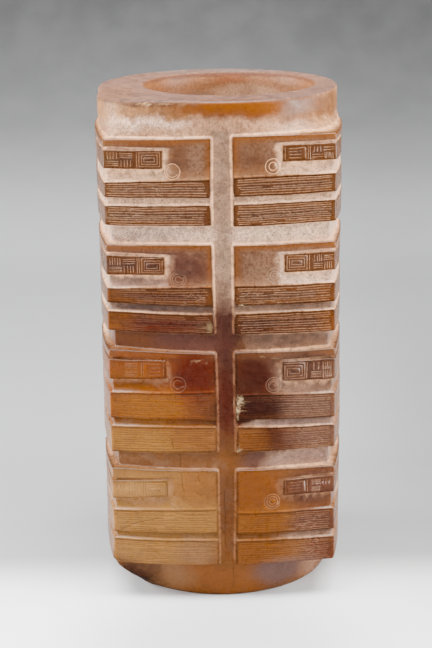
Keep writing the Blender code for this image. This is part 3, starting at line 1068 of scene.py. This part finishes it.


# Colours of the raised stone by place, some rows with painted sheen and one with painted shadow: centre
# and reach in millimetres, colour, strength
BROWN = (0.104, 0.039, 0.016, 1)
AMBER = (0.135, 0.050, 0.014, 1)
STONE_COLOURS_AND_PAINTED_LIGHT = (
    # Uppermost register
    ((18, -42, 163.5), (24, 14, 2.6), (0.135, 0.046, 0.012), 0.7),
    ((-37, -40, 148), (3.5, 14, 20), (0.135, 0.056, 0.014), 0.8),
    ((37.5, -40, 146), (3.5, 14, 22), (0.135, 0.048, 0.010), 0.8),
    ((-4, -42, 137), (3.5, 14, 5), (0.110, 0.030, 0.008), 0.8),
    # Second register
    ((-22, -43, 118), (26, 14, 9), (0.070, 0.022, 0.014), 0.9),
    ((-22, -43, 110), (24, 14, 4.5), (0.076, 0.016, 0.005), 0.95),
    ((-22, -43, 101), (24, 14, 5), (0.075, 0.005, 0.0), 0.95),
    ((-38, -41, 104), (8, 14, 11), (0.190, 0.050, 0.001), 0.9),
    ((-4, -43, 110), (3, 14, 4), (0.130, 0.034, 0.004), 0.8),
    ((8, -43, 119), (6, 14, 9), (0.075, 0.028, 0.012), 0.7),
    ((22, -43, 100), (24, 14, 5), (0.068, 0.018, 0.005), 0.9),
    ((9, -43, 100), (9, 14, 5), (0.042, 0.009, 0.003), 0.85),
    ((38, -40, 108), (6, 14, 18), (0.165, 0.044, 0.002), 0.9),
    # Third register
    ((-26, -43, 76), (24, 20, 18), (0.145, 0.030, 0.0), 1.0),
    ((-34, -43, 80), (12, 14, 6), (0.155, 0.042, 0.0), 0.8),
    ((-26, -43, 71), (15, 20, 6), (0.200, 0.060, 0.0), 0.9),
    ((-28, -43, 59), (20, 16, 7), (0.240, 0.096, 0.014), 0.95),
    ((-9, -43, 60), (9, 14, 6), (0.190, 0.064, 0.010), 0.9),
    ((-7, -43, 71), (6, 14, 5), (0.120, 0.028, 0.003), 0.8),
    ((-9, -43, 83), (9, 13, 9), (0.070, 0.006, 0.0), 1.0),
    # The purple-brown rows at the right, 26 to 32 across, are red-brown stone with painted sheen over it
    ((26, -43, 80), (16, 14, 14), (0.085, 0.038, 0.024), 0.85),
    ((8, -43, 81), (10, 14, 11), (0.038, 0.004, 0.001), 0.95),
    ((12, -43, 71), (17, 14, 6), (0.026, 0.004, 0.002), 0.97),
    ((29, -42, 85), (12, 14, 5), (0.050, 0.019, 0.011), 0.9),
    ((31, -42, 70), (11, 14, 6), (0.085, 0.038, 0.024), 0.85),
    ((20, -43, 60), (10, 14, 6), (0.052, 0.010, 0.003), 0.9),
    ((8, -43, 59), (8, 14, 6), (0.125, 0.036, 0.003), 0.9),
    ((32, -42, 60), (10, 14, 6), (0.085, 0.036, 0.022), 0.85),
    # Lowest register
    ((-22, -43, 32), (28, 20, 22), (0.250, 0.110, 0.022), 1.0),
    ((-29, -43, 41), (10, 14, 4), (0.300, 0.140, 0.036), 0.8),
    ((-9, -43, 43), (9, 14, 8), (0.210, 0.072, 0.010), 0.9),
    ((-9, -43, 19), (9, 14, 6), (0.200, 0.090, 0.036), 0.7),
    ((11, -43, 40), (12, 14, 12), (0.150, 0.038, 0.0), 0.95),
    ((31, -42, 41), (12, 14, 9), (0.068, 0.021, 0.012), 0.9),
    ((12, -43, 28), (14, 14, 6), (0.165, 0.048, 0.002), 0.95),
    ((32, -42, 28), (10, 14, 6), (0.066, 0.020, 0.010), 0.9),
    ((12, -43, 18), (16, 14, 6), (0.150, 0.044, 0.003), 0.95),
    ((34, -42, 18), (8, 14, 6), (0.075, 0.018, 0.006), 0.9),
    # Base collar and the rough web on it
    ((-4, -38, 5), (26, 16, 9), (0.190, 0.058, 0.008), 0.95),
    ((-22, -34, 7), (12, 12, 8), (0.225, 0.108, 0.046), 0.8),
    ((22, -34, 9), (14, 12, 8), (0.106, 0.066, 0.060), 0.9),
    ((34, -20, 7), (8, 14, 9), (0.260, 0.140, 0.090), 0.8),
    # Near-black on the web: partly rough dark stone, partly painted shadow under the body's corner
    ((-33, -30, 8), (11, 12, 9), (0.022, 0.008, 0.006), 0.98),
    # Sides and back
    ((14, 42, 60), (30, 18, 34), (0.170, 0.052, 0.008), 0.85),
    ((-20, 42, 100), (22, 18, 26), (0.060, 0.018, 0.009), 0.8),
    ((42, 8, 92), (18, 30, 22), (0.075, 0.024, 0.012), 0.8),
    ((-42, 6, 60), (18, 28, 34), (0.165, 0.056, 0.014), 0.85),
)
# Colours of the recesses below the pale skin
HOLLOW_COLOURS = (
    ((1, -42, 97), (5.5, 14, 15), (0.054, 0.013, 0.008), 0.95),
    ((1, -42, 71), (5, 14, 14), (0.066, 0.007, 0.001), 0.97),
    ((1, -42, 40), (6, 14, 22), (0.118, 0.034, 0.004), 0.95),
    ((3, -42, 51), (9, 14, 5), (0.140, 0.043, 0.004), 0.9),
    ((-30, -42, 94), (12, 14, 5), (0.120, 0.035, 0.009), 0.9),
    ((-12, -42, 94), (12, 14, 5), (0.096, 0.030, 0.020), 0.9),
    ((-24, -42, 51), (22, 14, 5), (0.165, 0.056, 0.011), 0.9),
    ((13, -42, 51), (7, 14, 5), (0.100, 0.040, 0.026), 0.9),
    ((6, -42, 173), (28, 14, 5), (0.165, 0.043, 0.0), 1.0),
)
# Where the pale altered skin lies, with painted sheen and reflection in some rows
PALE_SKIN_AND_PAINTED_LIGHT = (
    ((0, -42, 87.5), (7, 14, 24.5), -0.95),
    ((6, -42, 173.4), (24, 14, 3.4), -0.70),
    ((18, -42, 173.8), (26, 14, 1.8), -0.40),
    ((-22, -43, 93), (21, 14, 7), -0.75),
    # Pale at the right of the lower registers: partly skin, partly painted sheen
    ((27, -42, 94), (20, 16, 6), 0.9),
    ((29, -42, 80), (13, 16, 9), 0.5),
    ((24, -42, 65), (18, 16, 4), 0.85),
    ((29, -42, 51), (14, 16, 5), 0.95),
    ((32, -42, 44), (8, 16, 8), 0.35),
    ((30, -42, 23.5), (10, 16, 3), 0.5),
    # Pale on the sides: partly skin, partly painted reflection, and painted light over the shade in the
    # side gaps
    ((-44, 0, 94), (7, 44, 7), 0.9),
    ((44, 0, 94), (7, 44, 7), 0.9),
    ((-44, 0, 45), (6, 44, 50), 0.45),
    ((44, 0, 45), (6, 44, 50), 0.6),
)
SKIN_LIGHT = (0.920, 0.575, 0.380, 1)
SKIN_COLOURS_AND_PAINTED_LIGHT = (
    ((0, -42, 148), (60, 14, 12), (0.880, 0.490, 0.270), 0.9),
    # Collar and shoulder
    ((0, 0, 172), (80, 80, 7.5), (0.300, 0.120, 0.037), 1.0),
    ((-36, -24, 168), (12, 26, 7), (0.440, 0.196, 0.062), 0.9),
    ((32, -26, 169), (14, 22, 7), (0.165, 0.048, 0.004), 0.9),
    # Paler front left of the shoulder: partly skin, partly painted reflection
    ((-22, -36, 165), (18, 18, 4.5), (0.950, 0.620, 0.450), 0.85),
    ((0, 0, 164.5), (80, 80, 3.2), (0.410, 0.196, 0.086), 0.85),
    ((3, -42, 168), (15, 14, 4.5), (0.470, 0.235, 0.125), 0.85),
    ((2, -42, 161.5), (8, 14, 4), (0.330, 0.165, 0.092), 0.8),
    ((16, -42, 173), (30, 14, 2.4), (0.250, 0.085, 0.020), 0.9),
    ((5, -42, 172.5), (15, 14, 3.6), (0.160, 0.030, 0.000), 1.0),
    # Gaps and grooves
    ((-25, -42, 131), (16, 14, 4), (0.680, 0.450, 0.335), 0.8),
    # Brighter at the right of the uppermost gap: pale skin with painted light
    ((22, -42, 131), (16, 14, 4), (1.000, 0.660, 0.420), 0.9),
    ((-26, -42, 154), (16, 14, 6), (0.640, 0.380, 0.215), 0.9),
    ((-26, -42, 117), (16, 14, 6), (0.230, 0.122, 0.088), 0.95),
    ((-20, -42, 105.5), (26, 14, 4.6), (0.110, 0.052, 0.040), 0.97),
    ((22, -42, 105.5), (24, 14, 4.6), (0.220, 0.110, 0.066), 0.95),
    # Pinkish greys at the right of the lower registers: partly skin, partly painted sheen
    ((24, -42, 94), (22, 16, 5), (0.150, 0.072, 0.042), 1.0),
    ((30, -42, 80), (14, 16, 8), (0.270, 0.155, 0.110), 1.0),
    ((26, -42, 65), (18, 16, 4), (0.310, 0.180, 0.135), 1.0),
    ((29, -42, 51), (14, 16, 5), (0.330, 0.180, 0.130), 1.0),
    ((30, -42, 35), (14, 16, 14), (0.230, 0.115, 0.080), 1.0),
)
# A thin brown band just under the upper rim
BROW_COLOURS = (
    ((-24, -34, 174.6), (26, 20, 1.5), (0.130, 0.044, 0.012), 0.9),
    ((14, -38, 174.4), (28, 18, 2.4), (0.150, 0.042, 0.006), 0.9),
)
# Darker tan of the skin in the upright groove: painted shade, as its upright walls get less light than
# the gaps
UPRIGHT_SHADED_TAN = (0.295, 0.173, 0.108, 1)
PEPPER = (0.200, 0.095, 0.045, 1)
# Where more haze lies on the raised stone, with painted sheen in some rows, and where more dust lies in
# the fine lines
HAZE_AND_SHEEN = (
    ((-24, -43, 158), (14, 14, 6), -0.45),
    ((-7, -43, 149), (5, 14, 12), 0.35),
    ((14, -43, 150), (9, 14, 8), -0.30),
    ((-14, -43, 117), (20, 14, 9), -0.60),
    ((22, -43, 120), (16, 14, 8), 0.40),
    # Painted sheen at the right of the third and lowest registers
    ((29, -42, 79), (12, 14, 9), 0.40),
    ((32, -42, 62), (10, 14, 10), 0.30),
    ((32, -42, 40), (9, 14, 8), 0.30),
)
HAZE_AND_SHEEN_GREY = (0.185, 0.094, 0.052, 1)
DUST = (
    ((-22, -43, 58), (26, 24, 46), -0.62),
    ((-20, -43, 105), (26, 14, 10), -0.50),
    ((20, -43, 104), (24, 14, 8), -0.35),
    ((10, -43, 68), (10, 14, 16), -0.30),
    ((20, -43, 68), (24, 14, 16), -0.45),
    ((-37, -42, 106), (7, 14, 14), -0.55),
    ((8, -43, 30), (16, 14, 26), -0.45),
    ((31, -42, 26), (8, 16, 12), 0.10),
    ((32, -42, 42), (9, 14, 8), 0.15),
    ((30, -42, 70), (10, 14, 20), 0.20),
)
DUST_PALE = (0.500, 0.275, 0.160, 1)
RING_PALE = (0.460, 0.270, 0.160, 1)
# Colours of the lips, partly skin and partly painted highlight; the pale one also colours dust in the
# upper eye rings
RIM_PALE = (1.000, 0.500, 0.235, 1)
RIM_WARM = (0.340, 0.150, 0.070, 1)
EDGE_WARM = (0.190, 0.053, 0.003, 1)
CHIP_PALE = (0.500, 0.330, 0.170, 1)
CHIP_OLIVE = (0.170, 0.098, 0.036, 1)
CHIP_PEACH = (0.62, 0.33, 0.16, 1)
OLIVE_CHIP = (-4, -42, 100)
STAIN_DARK = (0.055, 0.018, 0.008, 1)
VEIN_WARM = (0.220, 0.092, 0.034, 1)
END_FACE = (0.086, 0.040, 0.027, 1)
END_PALE = (0.190, 0.088, 0.050, 1)
END_DARK = (0.034, 0.015, 0.010, 1)
END_COLOURS = (
    ((-36, -22, 175), (10, 20, 6), (0.115, 0.045, 0.021), 0.9),
    ((0, 36, 175), (60, 6, 6), (0.086, 0.060, 0.052), 0.8),
    ((-26, -30, 175), (7, 3.5, 6), (0.120, 0.062, 0.036), 0.7),
)
BORE_TAN = (0.252, 0.097, 0.036, 1)
BORE_COLOURS = (
    ((12, 32, 166), (16, 12, 5), (0.460, 0.250, 0.140), 0.85),
    ((-24, 12, 168), (9, 18, 18), (0.250, 0.085, 0.022), 0.9),
    ((33, 12, 170), (8, 16, 18), (0.270, 0.100, 0.034), 0.85),
    ((4, 30, 174.6), (50, 40, 1.3), (0.120, 0.036, 0.012), 0.9),
    ((5, 32, 172.3), (7, 8, 1.8), (0.200, 0.052, 0.014), 0.6),
    ((12, 32, 168), (3, 8, 2.5), (0.220, 0.100, 0.050), 0.5),
    ((-7, 30, 166.5), (6, 10, 2.2), (0.190, 0.105, 0.066), 0.6),
)

# Noise fields for each millimetre: scale, detail, roughness, distortion
CLOUDS = (0.16, 5.0, 0.6, 0.6)
VEINS = (0.5, 6.0, 0.62, 0.4)
GRAIN = (1.9, 4.0, 0.7)
SPECKS = (1.1, 5.0, 0.7)
STREAKS = (1.0, 3.0, 0.6)
STREAK_STRETCH = (0.25, 0.25, 2.6)
DRIFT = {"Scale": 0.12, "Detail": 5.0, "Roughness": 0.6}
HAZE_NOISE = (0.10, 4.0, 0.55, 0.3)
# How far the edges of the patches drift, in millimetres
FAR_DRIFT = 9.0
NEAR_DRIFT = 3.0
# Heights between which the stone turns from the lower kind to the upper one
BROWN_FROM = (84.0, 98.0)
WORN_FROM = (96.0, 106.0)
DARK_FROM = (92.0, 104.0)
HAZE_FROM = (92.0, 108.0)
SKIN_FROM = (97.0, 106.0)


def end_and_bore(n, colour, nearby, top, clouds, veins, specks):
    """The colours of the upper end face and of the bore over those of the carved skin."""
    end_colour = n.patches(nearby, END_FACE, END_COLOURS)
    end_colour = n.mix(n.span(clouds, 0.45, 0.65, 0.0, 0.7), end_colour, END_DARK)
    end_colour = n.mix(n.span(veins, 0.48, 0.66, 0.0, 0.7), end_colour, END_PALE)
    end_colour = n.shade(n.span(specks, 0.36, 0.54, 0.45, 0.0), end_colour, 0.55)
    end_face = n.math("GREATER_THAN", top, (HEIGHT - 0.4) * MM)
    colour = n.mix(n.times(end_face, 0.9), colour, end_colour)
    bore_colour = n.patches(nearby, BORE_TAN, BORE_COLOURS)
    bore_colour = n.shade(n.span(specks, 0.4, 0.6, 0.7, 0.0), bore_colour, 0.55)
    return n.mix(n.mark("bore"), colour, bore_colour)


def jade():
    """Red-brown and amber jade, with pale altered skin in the recesses, dust, stains and wear, and
    painted shade, highlights, sheen and reflection.
    """
    material = bpy.data.materials.new("jade_altered")
    n = Nodes(material)
    coordinates = n.add("ShaderNodeTexCoord").outputs["Object"]
    spot = n.vector("MULTIPLY", coordinates, (1 / MM,) * 3)
    drift = n.add("ShaderNodeTexNoise", {"Vector": spot, **DRIFT})
    shifted = n.vector("SUBTRACT", drift.outputs["Color"], (0.5,) * 3)
    warped = n.vector("ADD", spot, n.vector("MULTIPLY", shifted, (FAR_DRIFT,) * 3))
    nearby = n.vector("ADD", spot, n.vector("MULTIPLY", shifted, (NEAR_DRIFT,) * 3))
    height = n.axis(warped, "Z")
    top = n.axis(coordinates, "Z")
    clouds = n.noise(spot, *CLOUDS)
    veins = n.noise(spot, *VEINS)
    grain = n.noise(spot, *GRAIN)
    specks = n.noise(spot, *SPECKS)
    streaks = n.noise(n.vector("MULTIPLY", spot, STREAK_STRETCH), *STREAKS)
    recess, inner, line = n.mark("recess"), n.mark("inner"), n.mark("line")

    # The stone itself, redder and more worn at the edges of its raised parts
    stone_colour = n.mix(n.span(height, *BROWN_FROM), AMBER, BROWN)
    stone_colour = n.patches(warped, stone_colour, STONE_COLOURS_AND_PAINTED_LIGHT)
    outer = n.times(n.math("SUBTRACT", 1.0, inner), n.span(height, *WORN_FROM, 0.1, 0.7))
    stone_colour = n.mix(outer, stone_colour, EDGE_WARM)
    dark = n.times(n.math("SUBTRACT", 1.0, n.mark("cheek")), n.span(height, *DARK_FROM))
    stone_colour = n.shade(dark, stone_colour, 0.57)
    # A grey veil over the raised cheeks: haze, with painted sheen at the right of the lower registers
    haze_and_sheen = n.span(n.noise(spot, *HAZE_NOISE), 0.35, 0.65, 0.25, 0.85)
    haze_and_sheen = n.added(warped, n.times(haze_and_sheen, n.span(height, *HAZE_FROM)), HAZE_AND_SHEEN)
    hazy = n.plus(n.times(n.mark("cheek"), 0.8), 0.2)
    hazy = n.times(hazy, n.span(specks, 0.34, 0.62, 0.3, 1.5))
    haze_and_sheen = n.times(haze_and_sheen, n.times(inner, hazy), clamp=True)
    stone_colour = n.mix(n.times(haze_and_sheen, 0.75), stone_colour, HAZE_AND_SHEEN_GREY)

    # The recesses, with pale altered skin in the upper ones
    hollow = n.patches(warped, stone_colour, HOLLOW_COLOURS)
    # Pale skin, with painted sheen and reflection in some of its patches
    skin = n.added(warped, n.span(height, *SKIN_FROM), PALE_SKIN_AND_PAINTED_LIGHT)
    skin = n.plus(skin, n.span(clouds, 0.3, 0.7, -0.12, 0.12), clamp=True)
    skin_colour = n.patches(warped, SKIN_LIGHT, SKIN_COLOURS_AND_PAINTED_LIGHT)
    skin_colour = n.patches(nearby, skin_colour, BROW_COLOURS)
    # Painted shade on the skin in the upright groove
    skin_colour = n.mix(n.times(n.mark("upright"), 0.9), skin_colour, UPRIGHT_SHADED_TAN)
    skin_colour = n.mix(n.span(grain, 0.38, 0.53, 0.7, 0.0), skin_colour, PEPPER)
    skin_colour = n.shade(n.span(clouds, 0.4, 0.7, 0.0, 0.35), skin_colour, 0.6)
    skin_colour = n.shade(n.span(veins, 0.40, 0.56, 0.6, 0.0), skin_colour, 0.5)
    skin = n.times(skin, n.span(specks, 0.28, 0.6, 0.75, 1.0))
    colour = n.mix(recess, stone_colour, n.mix(skin, hollow, skin_colour))
    colour = n.mix(n.span(clouds, 0.46, 0.76, 0.0, 0.25), colour, STAIN_DARK)
    colour = n.mix(n.span(veins, 0.52, 0.8, 0.0, 0.12), colour, VEIN_WARM)
    colour = n.shade(n.span(streaks, 0.35, 0.6, 0.28, 0.0), colour, 0.55)
    colour = n.shade(n.span(specks, 0.36, 0.56, 0.4, 0.0), colour, 0.6)

    # Dark inner outlines, painted shade under overhangs, and pale rims round the raised parts that are
    # partly pale skin and partly painted highlight
    colour = n.shade(n.times(n.mark("edge"), 0.9), colour, 0.35)
    # Painted shade under the bars, bands and blocks
    colour = n.shade(n.times(n.mark("painted_shade"), 0.65), colour, 0.4)
    # Painted highlight and pale skin on the lips
    rims_and_highlights = n.times(n.mark("rim"), n.span(skin, 0.1, 0.8, 0.45, 0.7))
    rims_and_highlights = n.times(rims_and_highlights, n.span(veins, 0.38, 0.58, 0.4, 1.25), clamp=True)
    colour = n.mix(rims_and_highlights, colour, n.mix(skin, RIM_WARM, RIM_PALE))

    # Dust in the fine lines and the eye rings
    dust = n.added(warped, n.span(height, 40.0, 96.0, 0.5, 1.0), DUST)
    dust = n.times(n.math("MAXIMUM", dust, 0.0), n.span(specks, 0.3, 0.62, 0.35, 1.1))
    dusty = n.times(n.math("POWER", line, 0.65), dust, clamp=True)
    bare = n.times(line, n.math("SUBTRACT", 0.7, dusty), clamp=True)
    colour = n.shade(n.times(bare, n.span(height, 84.0, 100.0, 0.9, 0.4)), colour, 0.45)
    colour = n.mix(n.times(dusty, 0.6), colour, DUST_PALE)
    ring = n.times(n.mark("ring"), n.span(height, 40.0, 140.0, 0.45, 0.75), clamp=True)
    colour = n.mix(ring, colour, n.mix(n.span(height, 135.0, 145.0), RING_PALE, RIM_PALE))
    colour = end_and_bore(n, colour, nearby, top, clouds, veins, specks)

    # Chips and cracks
    chips = n.mark("chip")
    chip_colour = n.mix(n.span(specks, 0.42, 0.58), CHIP_OLIVE, CHIP_PALE)
    chip_colour = n.mix(n.span(height, 150.0, 168.0, 0.0, 0.8), chip_colour, CHIP_PEACH)
    olive = n.patch(spot, OLIVE_CHIP, (6, 14, 5))
    chip_colour = n.mix(n.times(olive, 0.92), chip_colour, CHIP_OLIVE)
    colour = n.mix(n.times(chips, 0.9), colour, chip_colour)
    colour = n.shade(n.mark("crack"), colour, 0.25)
    n.feed(n.surface.inputs["Base Color"], colour)

    rough = n.plus(n.span(n.times(skin, recess), 0.0, 1.0, 0.28, 0.5),
                   n.span(veins, 0.3, 0.7, -0.02, 0.03))
    rough = n.plus(rough, n.times(chips, 0.25))
    rough = n.plus(rough, n.span(top, (HEIGHT - 1.5) * MM, (HEIGHT - 0.5) * MM, 0.0, 0.2))
    n.feed(n.surface.inputs["Roughness"], rough)
    n.surface.inputs["IOR"].default_value = 1.58
    n.surface.inputs["Specular IOR Level"].default_value = 0.24
    n.surface.inputs["Subsurface Weight"].default_value = 0.06
    n.surface.inputs["Subsurface Radius"].default_value = (1.0, 0.45, 0.2)
    n.surface.inputs["Subsurface Scale"].default_value = 0.004

    pits = n.plus(n.times(grain, 0.6), n.times(veins, 0.8))
    bump = n.add("ShaderNodeBump", {"Strength": 0.3, "Distance": 0.00001, "Height": pits})
    n.feed(n.surface.inputs["Normal"], bump.outputs["Normal"])
    return material


stone.data.materials.append(jade())
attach(stone, "root")
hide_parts("jade_cong")

# The floor and the backdrop, in metres. The floor runs back, bends and climbs.
FLOOR_FRONT = -1.6
FLOOR_BACK = 0.75
FLOOR_BEND = 0.35
BEND_STEPS = 14
BACKDROP_TOP = 1.6
BACKDROP_SIDE = 2.2
FLOOR_PALE = (0.79, 0.79, 0.794, 1)
FLOOR_BEHIND = (0.320, 0.321, 0.324, 1)
FLOOR_FAR = (0.228, 0.229, 0.231, 1)
FLOOR_FLECK = (0.4, 0.4, 0.4, 1)
# Depths between which the pale floor in front gives way to the floor behind, and that to the far
FLOOR_TURNS = (-0.033, 0.001)
FLOOR_FADES = (0.0, 0.1)
# The right side lies in shade, more so near the stone, and so does the floor just in front of it
RIGHT_SIDE = (0.02, 0.12)
RIGHT_SHADE = 0.8
NEAR_RIGHT_SHADE = 0.7
NEAR_RIGHT_REACH = 0.45
FRONT_SHADE = 0.56
FRONT_SHADE_MIDDLE = (0.0, -0.08, 0.0)
FRONT_SHADE_REACH = (0.06, 0.05, 1.0)
# Heights up the backdrop in metres, and how bright it is there next to the floor behind
BACKDROP_REACH = 0.16
BACKDROP_PLACES = (0.0, 0.006, 0.0215, 0.041, 0.063, 0.0865, 0.112, 0.138, 0.16)
BACKDROP_SHADES = (1.0, 1.06, 0.90, 0.60, 0.385, 0.28, 0.20, 0.140, 0.098)


def floor_material():
    """Pale in front, and shading to grey up the wall behind."""
    material = bpy.data.materials.new("pale_floor")
    n = Nodes(material)
    spot = n.add("ShaderNodeTexCoord").outputs["Object"]
    right, back, rise = (n.axis(spot, name) for name in "XYZ")
    behind = n.mix(n.span(back, *FLOOR_FADES), FLOOR_BEHIND, FLOOR_FAR)
    colour = n.mix(n.span(back, *FLOOR_TURNS), FLOOR_PALE, behind)
    shade = n.add("ShaderNodeValToRGB", {0: n.times(rise, 1 / BACKDROP_REACH)})
    stops = shade.color_ramp.elements
    for climb, light in zip(BACKDROP_PLACES[1:-1], BACKDROP_SHADES[1:-1]):
        stops.new(climb / BACKDROP_REACH).color = (light, light, light, 1)
    for end in (0, -1):
        stops[end].color = (*(BACKDROP_SHADES[end],) * 3, 1)
    colour = n.mix(1.0, colour, shade.outputs["Color"], "MULTIPLY")
    grain = n.noise(spot, 40.0, 3.0)
    colour = n.mix(n.span(grain, 0.3, 0.7, 0.0, 0.03), colour, FLOOR_FLECK)
    right = n.span(right, *RIGHT_SIDE)
    colour = n.shade(right, colour, RIGHT_SHADE)
    near = n.times(right, n.span(back, 0.0, NEAR_RIGHT_REACH, 1.0, 0.0))
    colour = n.shade(near, colour, NEAR_RIGHT_SHADE)
    before = n.patch(spot, FRONT_SHADE_MIDDLE, FRONT_SHADE_REACH, 0.3)
    n.feed(n.surface.inputs["Base Color"], n.shade(before, colour, FRONT_SHADE))
    n.surface.inputs["Roughness"].default_value = 0.8
    return material


def backdrop(name, start, end, material):
    """Part of a pale floor that curves up into a grey backdrop, between two of its bends."""
    path = [(FLOOR_FRONT, 0.0), (0.0, 0.0)]
    for i in range(BEND_STEPS + 1):
        a = math.pi / 2 * i / BEND_STEPS
        path.append((FLOOR_BACK - FLOOR_BEND * (1 - math.sin(a)), FLOOR_BEND * (1 - math.cos(a))))
    path.append((FLOOR_BACK, BACKDROP_TOP))
    points = [(x, y, z) for y, z in path[start:end] for x in (-BACKDROP_SIDE, BACKDROP_SIDE)]
    faces = [(2 * i, 2 * i + 1, 2 * i + 3, 2 * i + 2) for i in range(len(points) // 2 - 1)]
    mesh = bpy.data.meshes.new(name)
    mesh.from_pydata(points, [], faces)
    mesh.shade_smooth()
    mesh.materials.append(material)
    sweep = bpy.data.objects.new(name, mesh)
    bpy.context.scene.collection.objects.link(sweep)
    return sweep


pale_floor = floor_material()
floor_front = backdrop("floor_front", 0, 2, pale_floor)
# The stone's polish mirrors the backdrop at its sides, but not the bright floor in front
floor_front.visible_glossy = False
backdrop("floor_back", 1, None, pale_floor)

# Each light's name, place, what it points at, width, height and power in watts
MIDDLE = (0, 0, 0.09)
LIGHTS = (
    ("above", (0.0, -0.12, 0.95), (0, -0.12, 0), 1.3, 0.55, 57),
    ("key", (-0.55, -0.7, 0.6), MIDDLE, 0.4, 0.5, 4),
    ("right", (0.62, -0.12, 0.2), MIDDLE, 0.25, 0.5, 12),
    ("left", (-0.7, 0.0, 0.25), MIDDLE, 0.3, 0.6, 13),
)
WORLD_LIGHT = (0.9, 0.95, 1.0, 1)
WORLD_STRENGTH = 0.05


def area_light(name, place, target, width, height, power):
    light = bpy.data.lights.new(name, "AREA")
    light.shape = "RECTANGLE"
    light.size = width
    light.size_y = height
    light.energy = power
    holder = bpy.data.objects.new(name, light)
    bpy.context.scene.collection.objects.link(holder)
    holder.location = place
    aim = Vector(target) - Vector(place)
    holder.rotation_euler = aim.to_track_quat("-Z", "Y").to_euler()


for light in LIGHTS:
    area_light(*light)

world = bpy.data.worlds.new("soft_surroundings")
world.use_nodes = True
world.node_tree.nodes["Background"].inputs["Color"].default_value = WORLD_LIGHT
world.node_tree.nodes["Background"].inputs["Strength"].default_value = WORLD_STRENGTH
bpy.context.scene.world = world

# The photograph's viewpoint: just above the rim's height, looking down about 16 degrees
PICTURE_HEIGHT = 648
FOCAL_PIXELS = 1698.5
CAMERA_PLACE = (-0.00655, -0.5875, 0.2566)
HEADING = -0.0084
PITCH = 0.2782
ROLL = -0.0123
camera_data = bpy.data.cameras.new("camera")
camera_data.sensor_width = 36
camera_data.lens = FOCAL_PIXELS * camera_data.sensor_width / PICTURE_HEIGHT
camera_data.clip_start = 0.01
camera = bpy.data.objects.new("camera", camera_data)
bpy.context.scene.collection.objects.link(camera)
turn = (Matrix.Rotation(HEADING, 4, "Z") @ Matrix.Rotation(math.pi / 2 - PITCH, 4, "X")
        @ Matrix.Rotation(ROLL, 4, "Z"))
camera.matrix_world = Matrix.Translation(CAMERA_PLACE) @ turn
bpy.context.scene.camera = camera
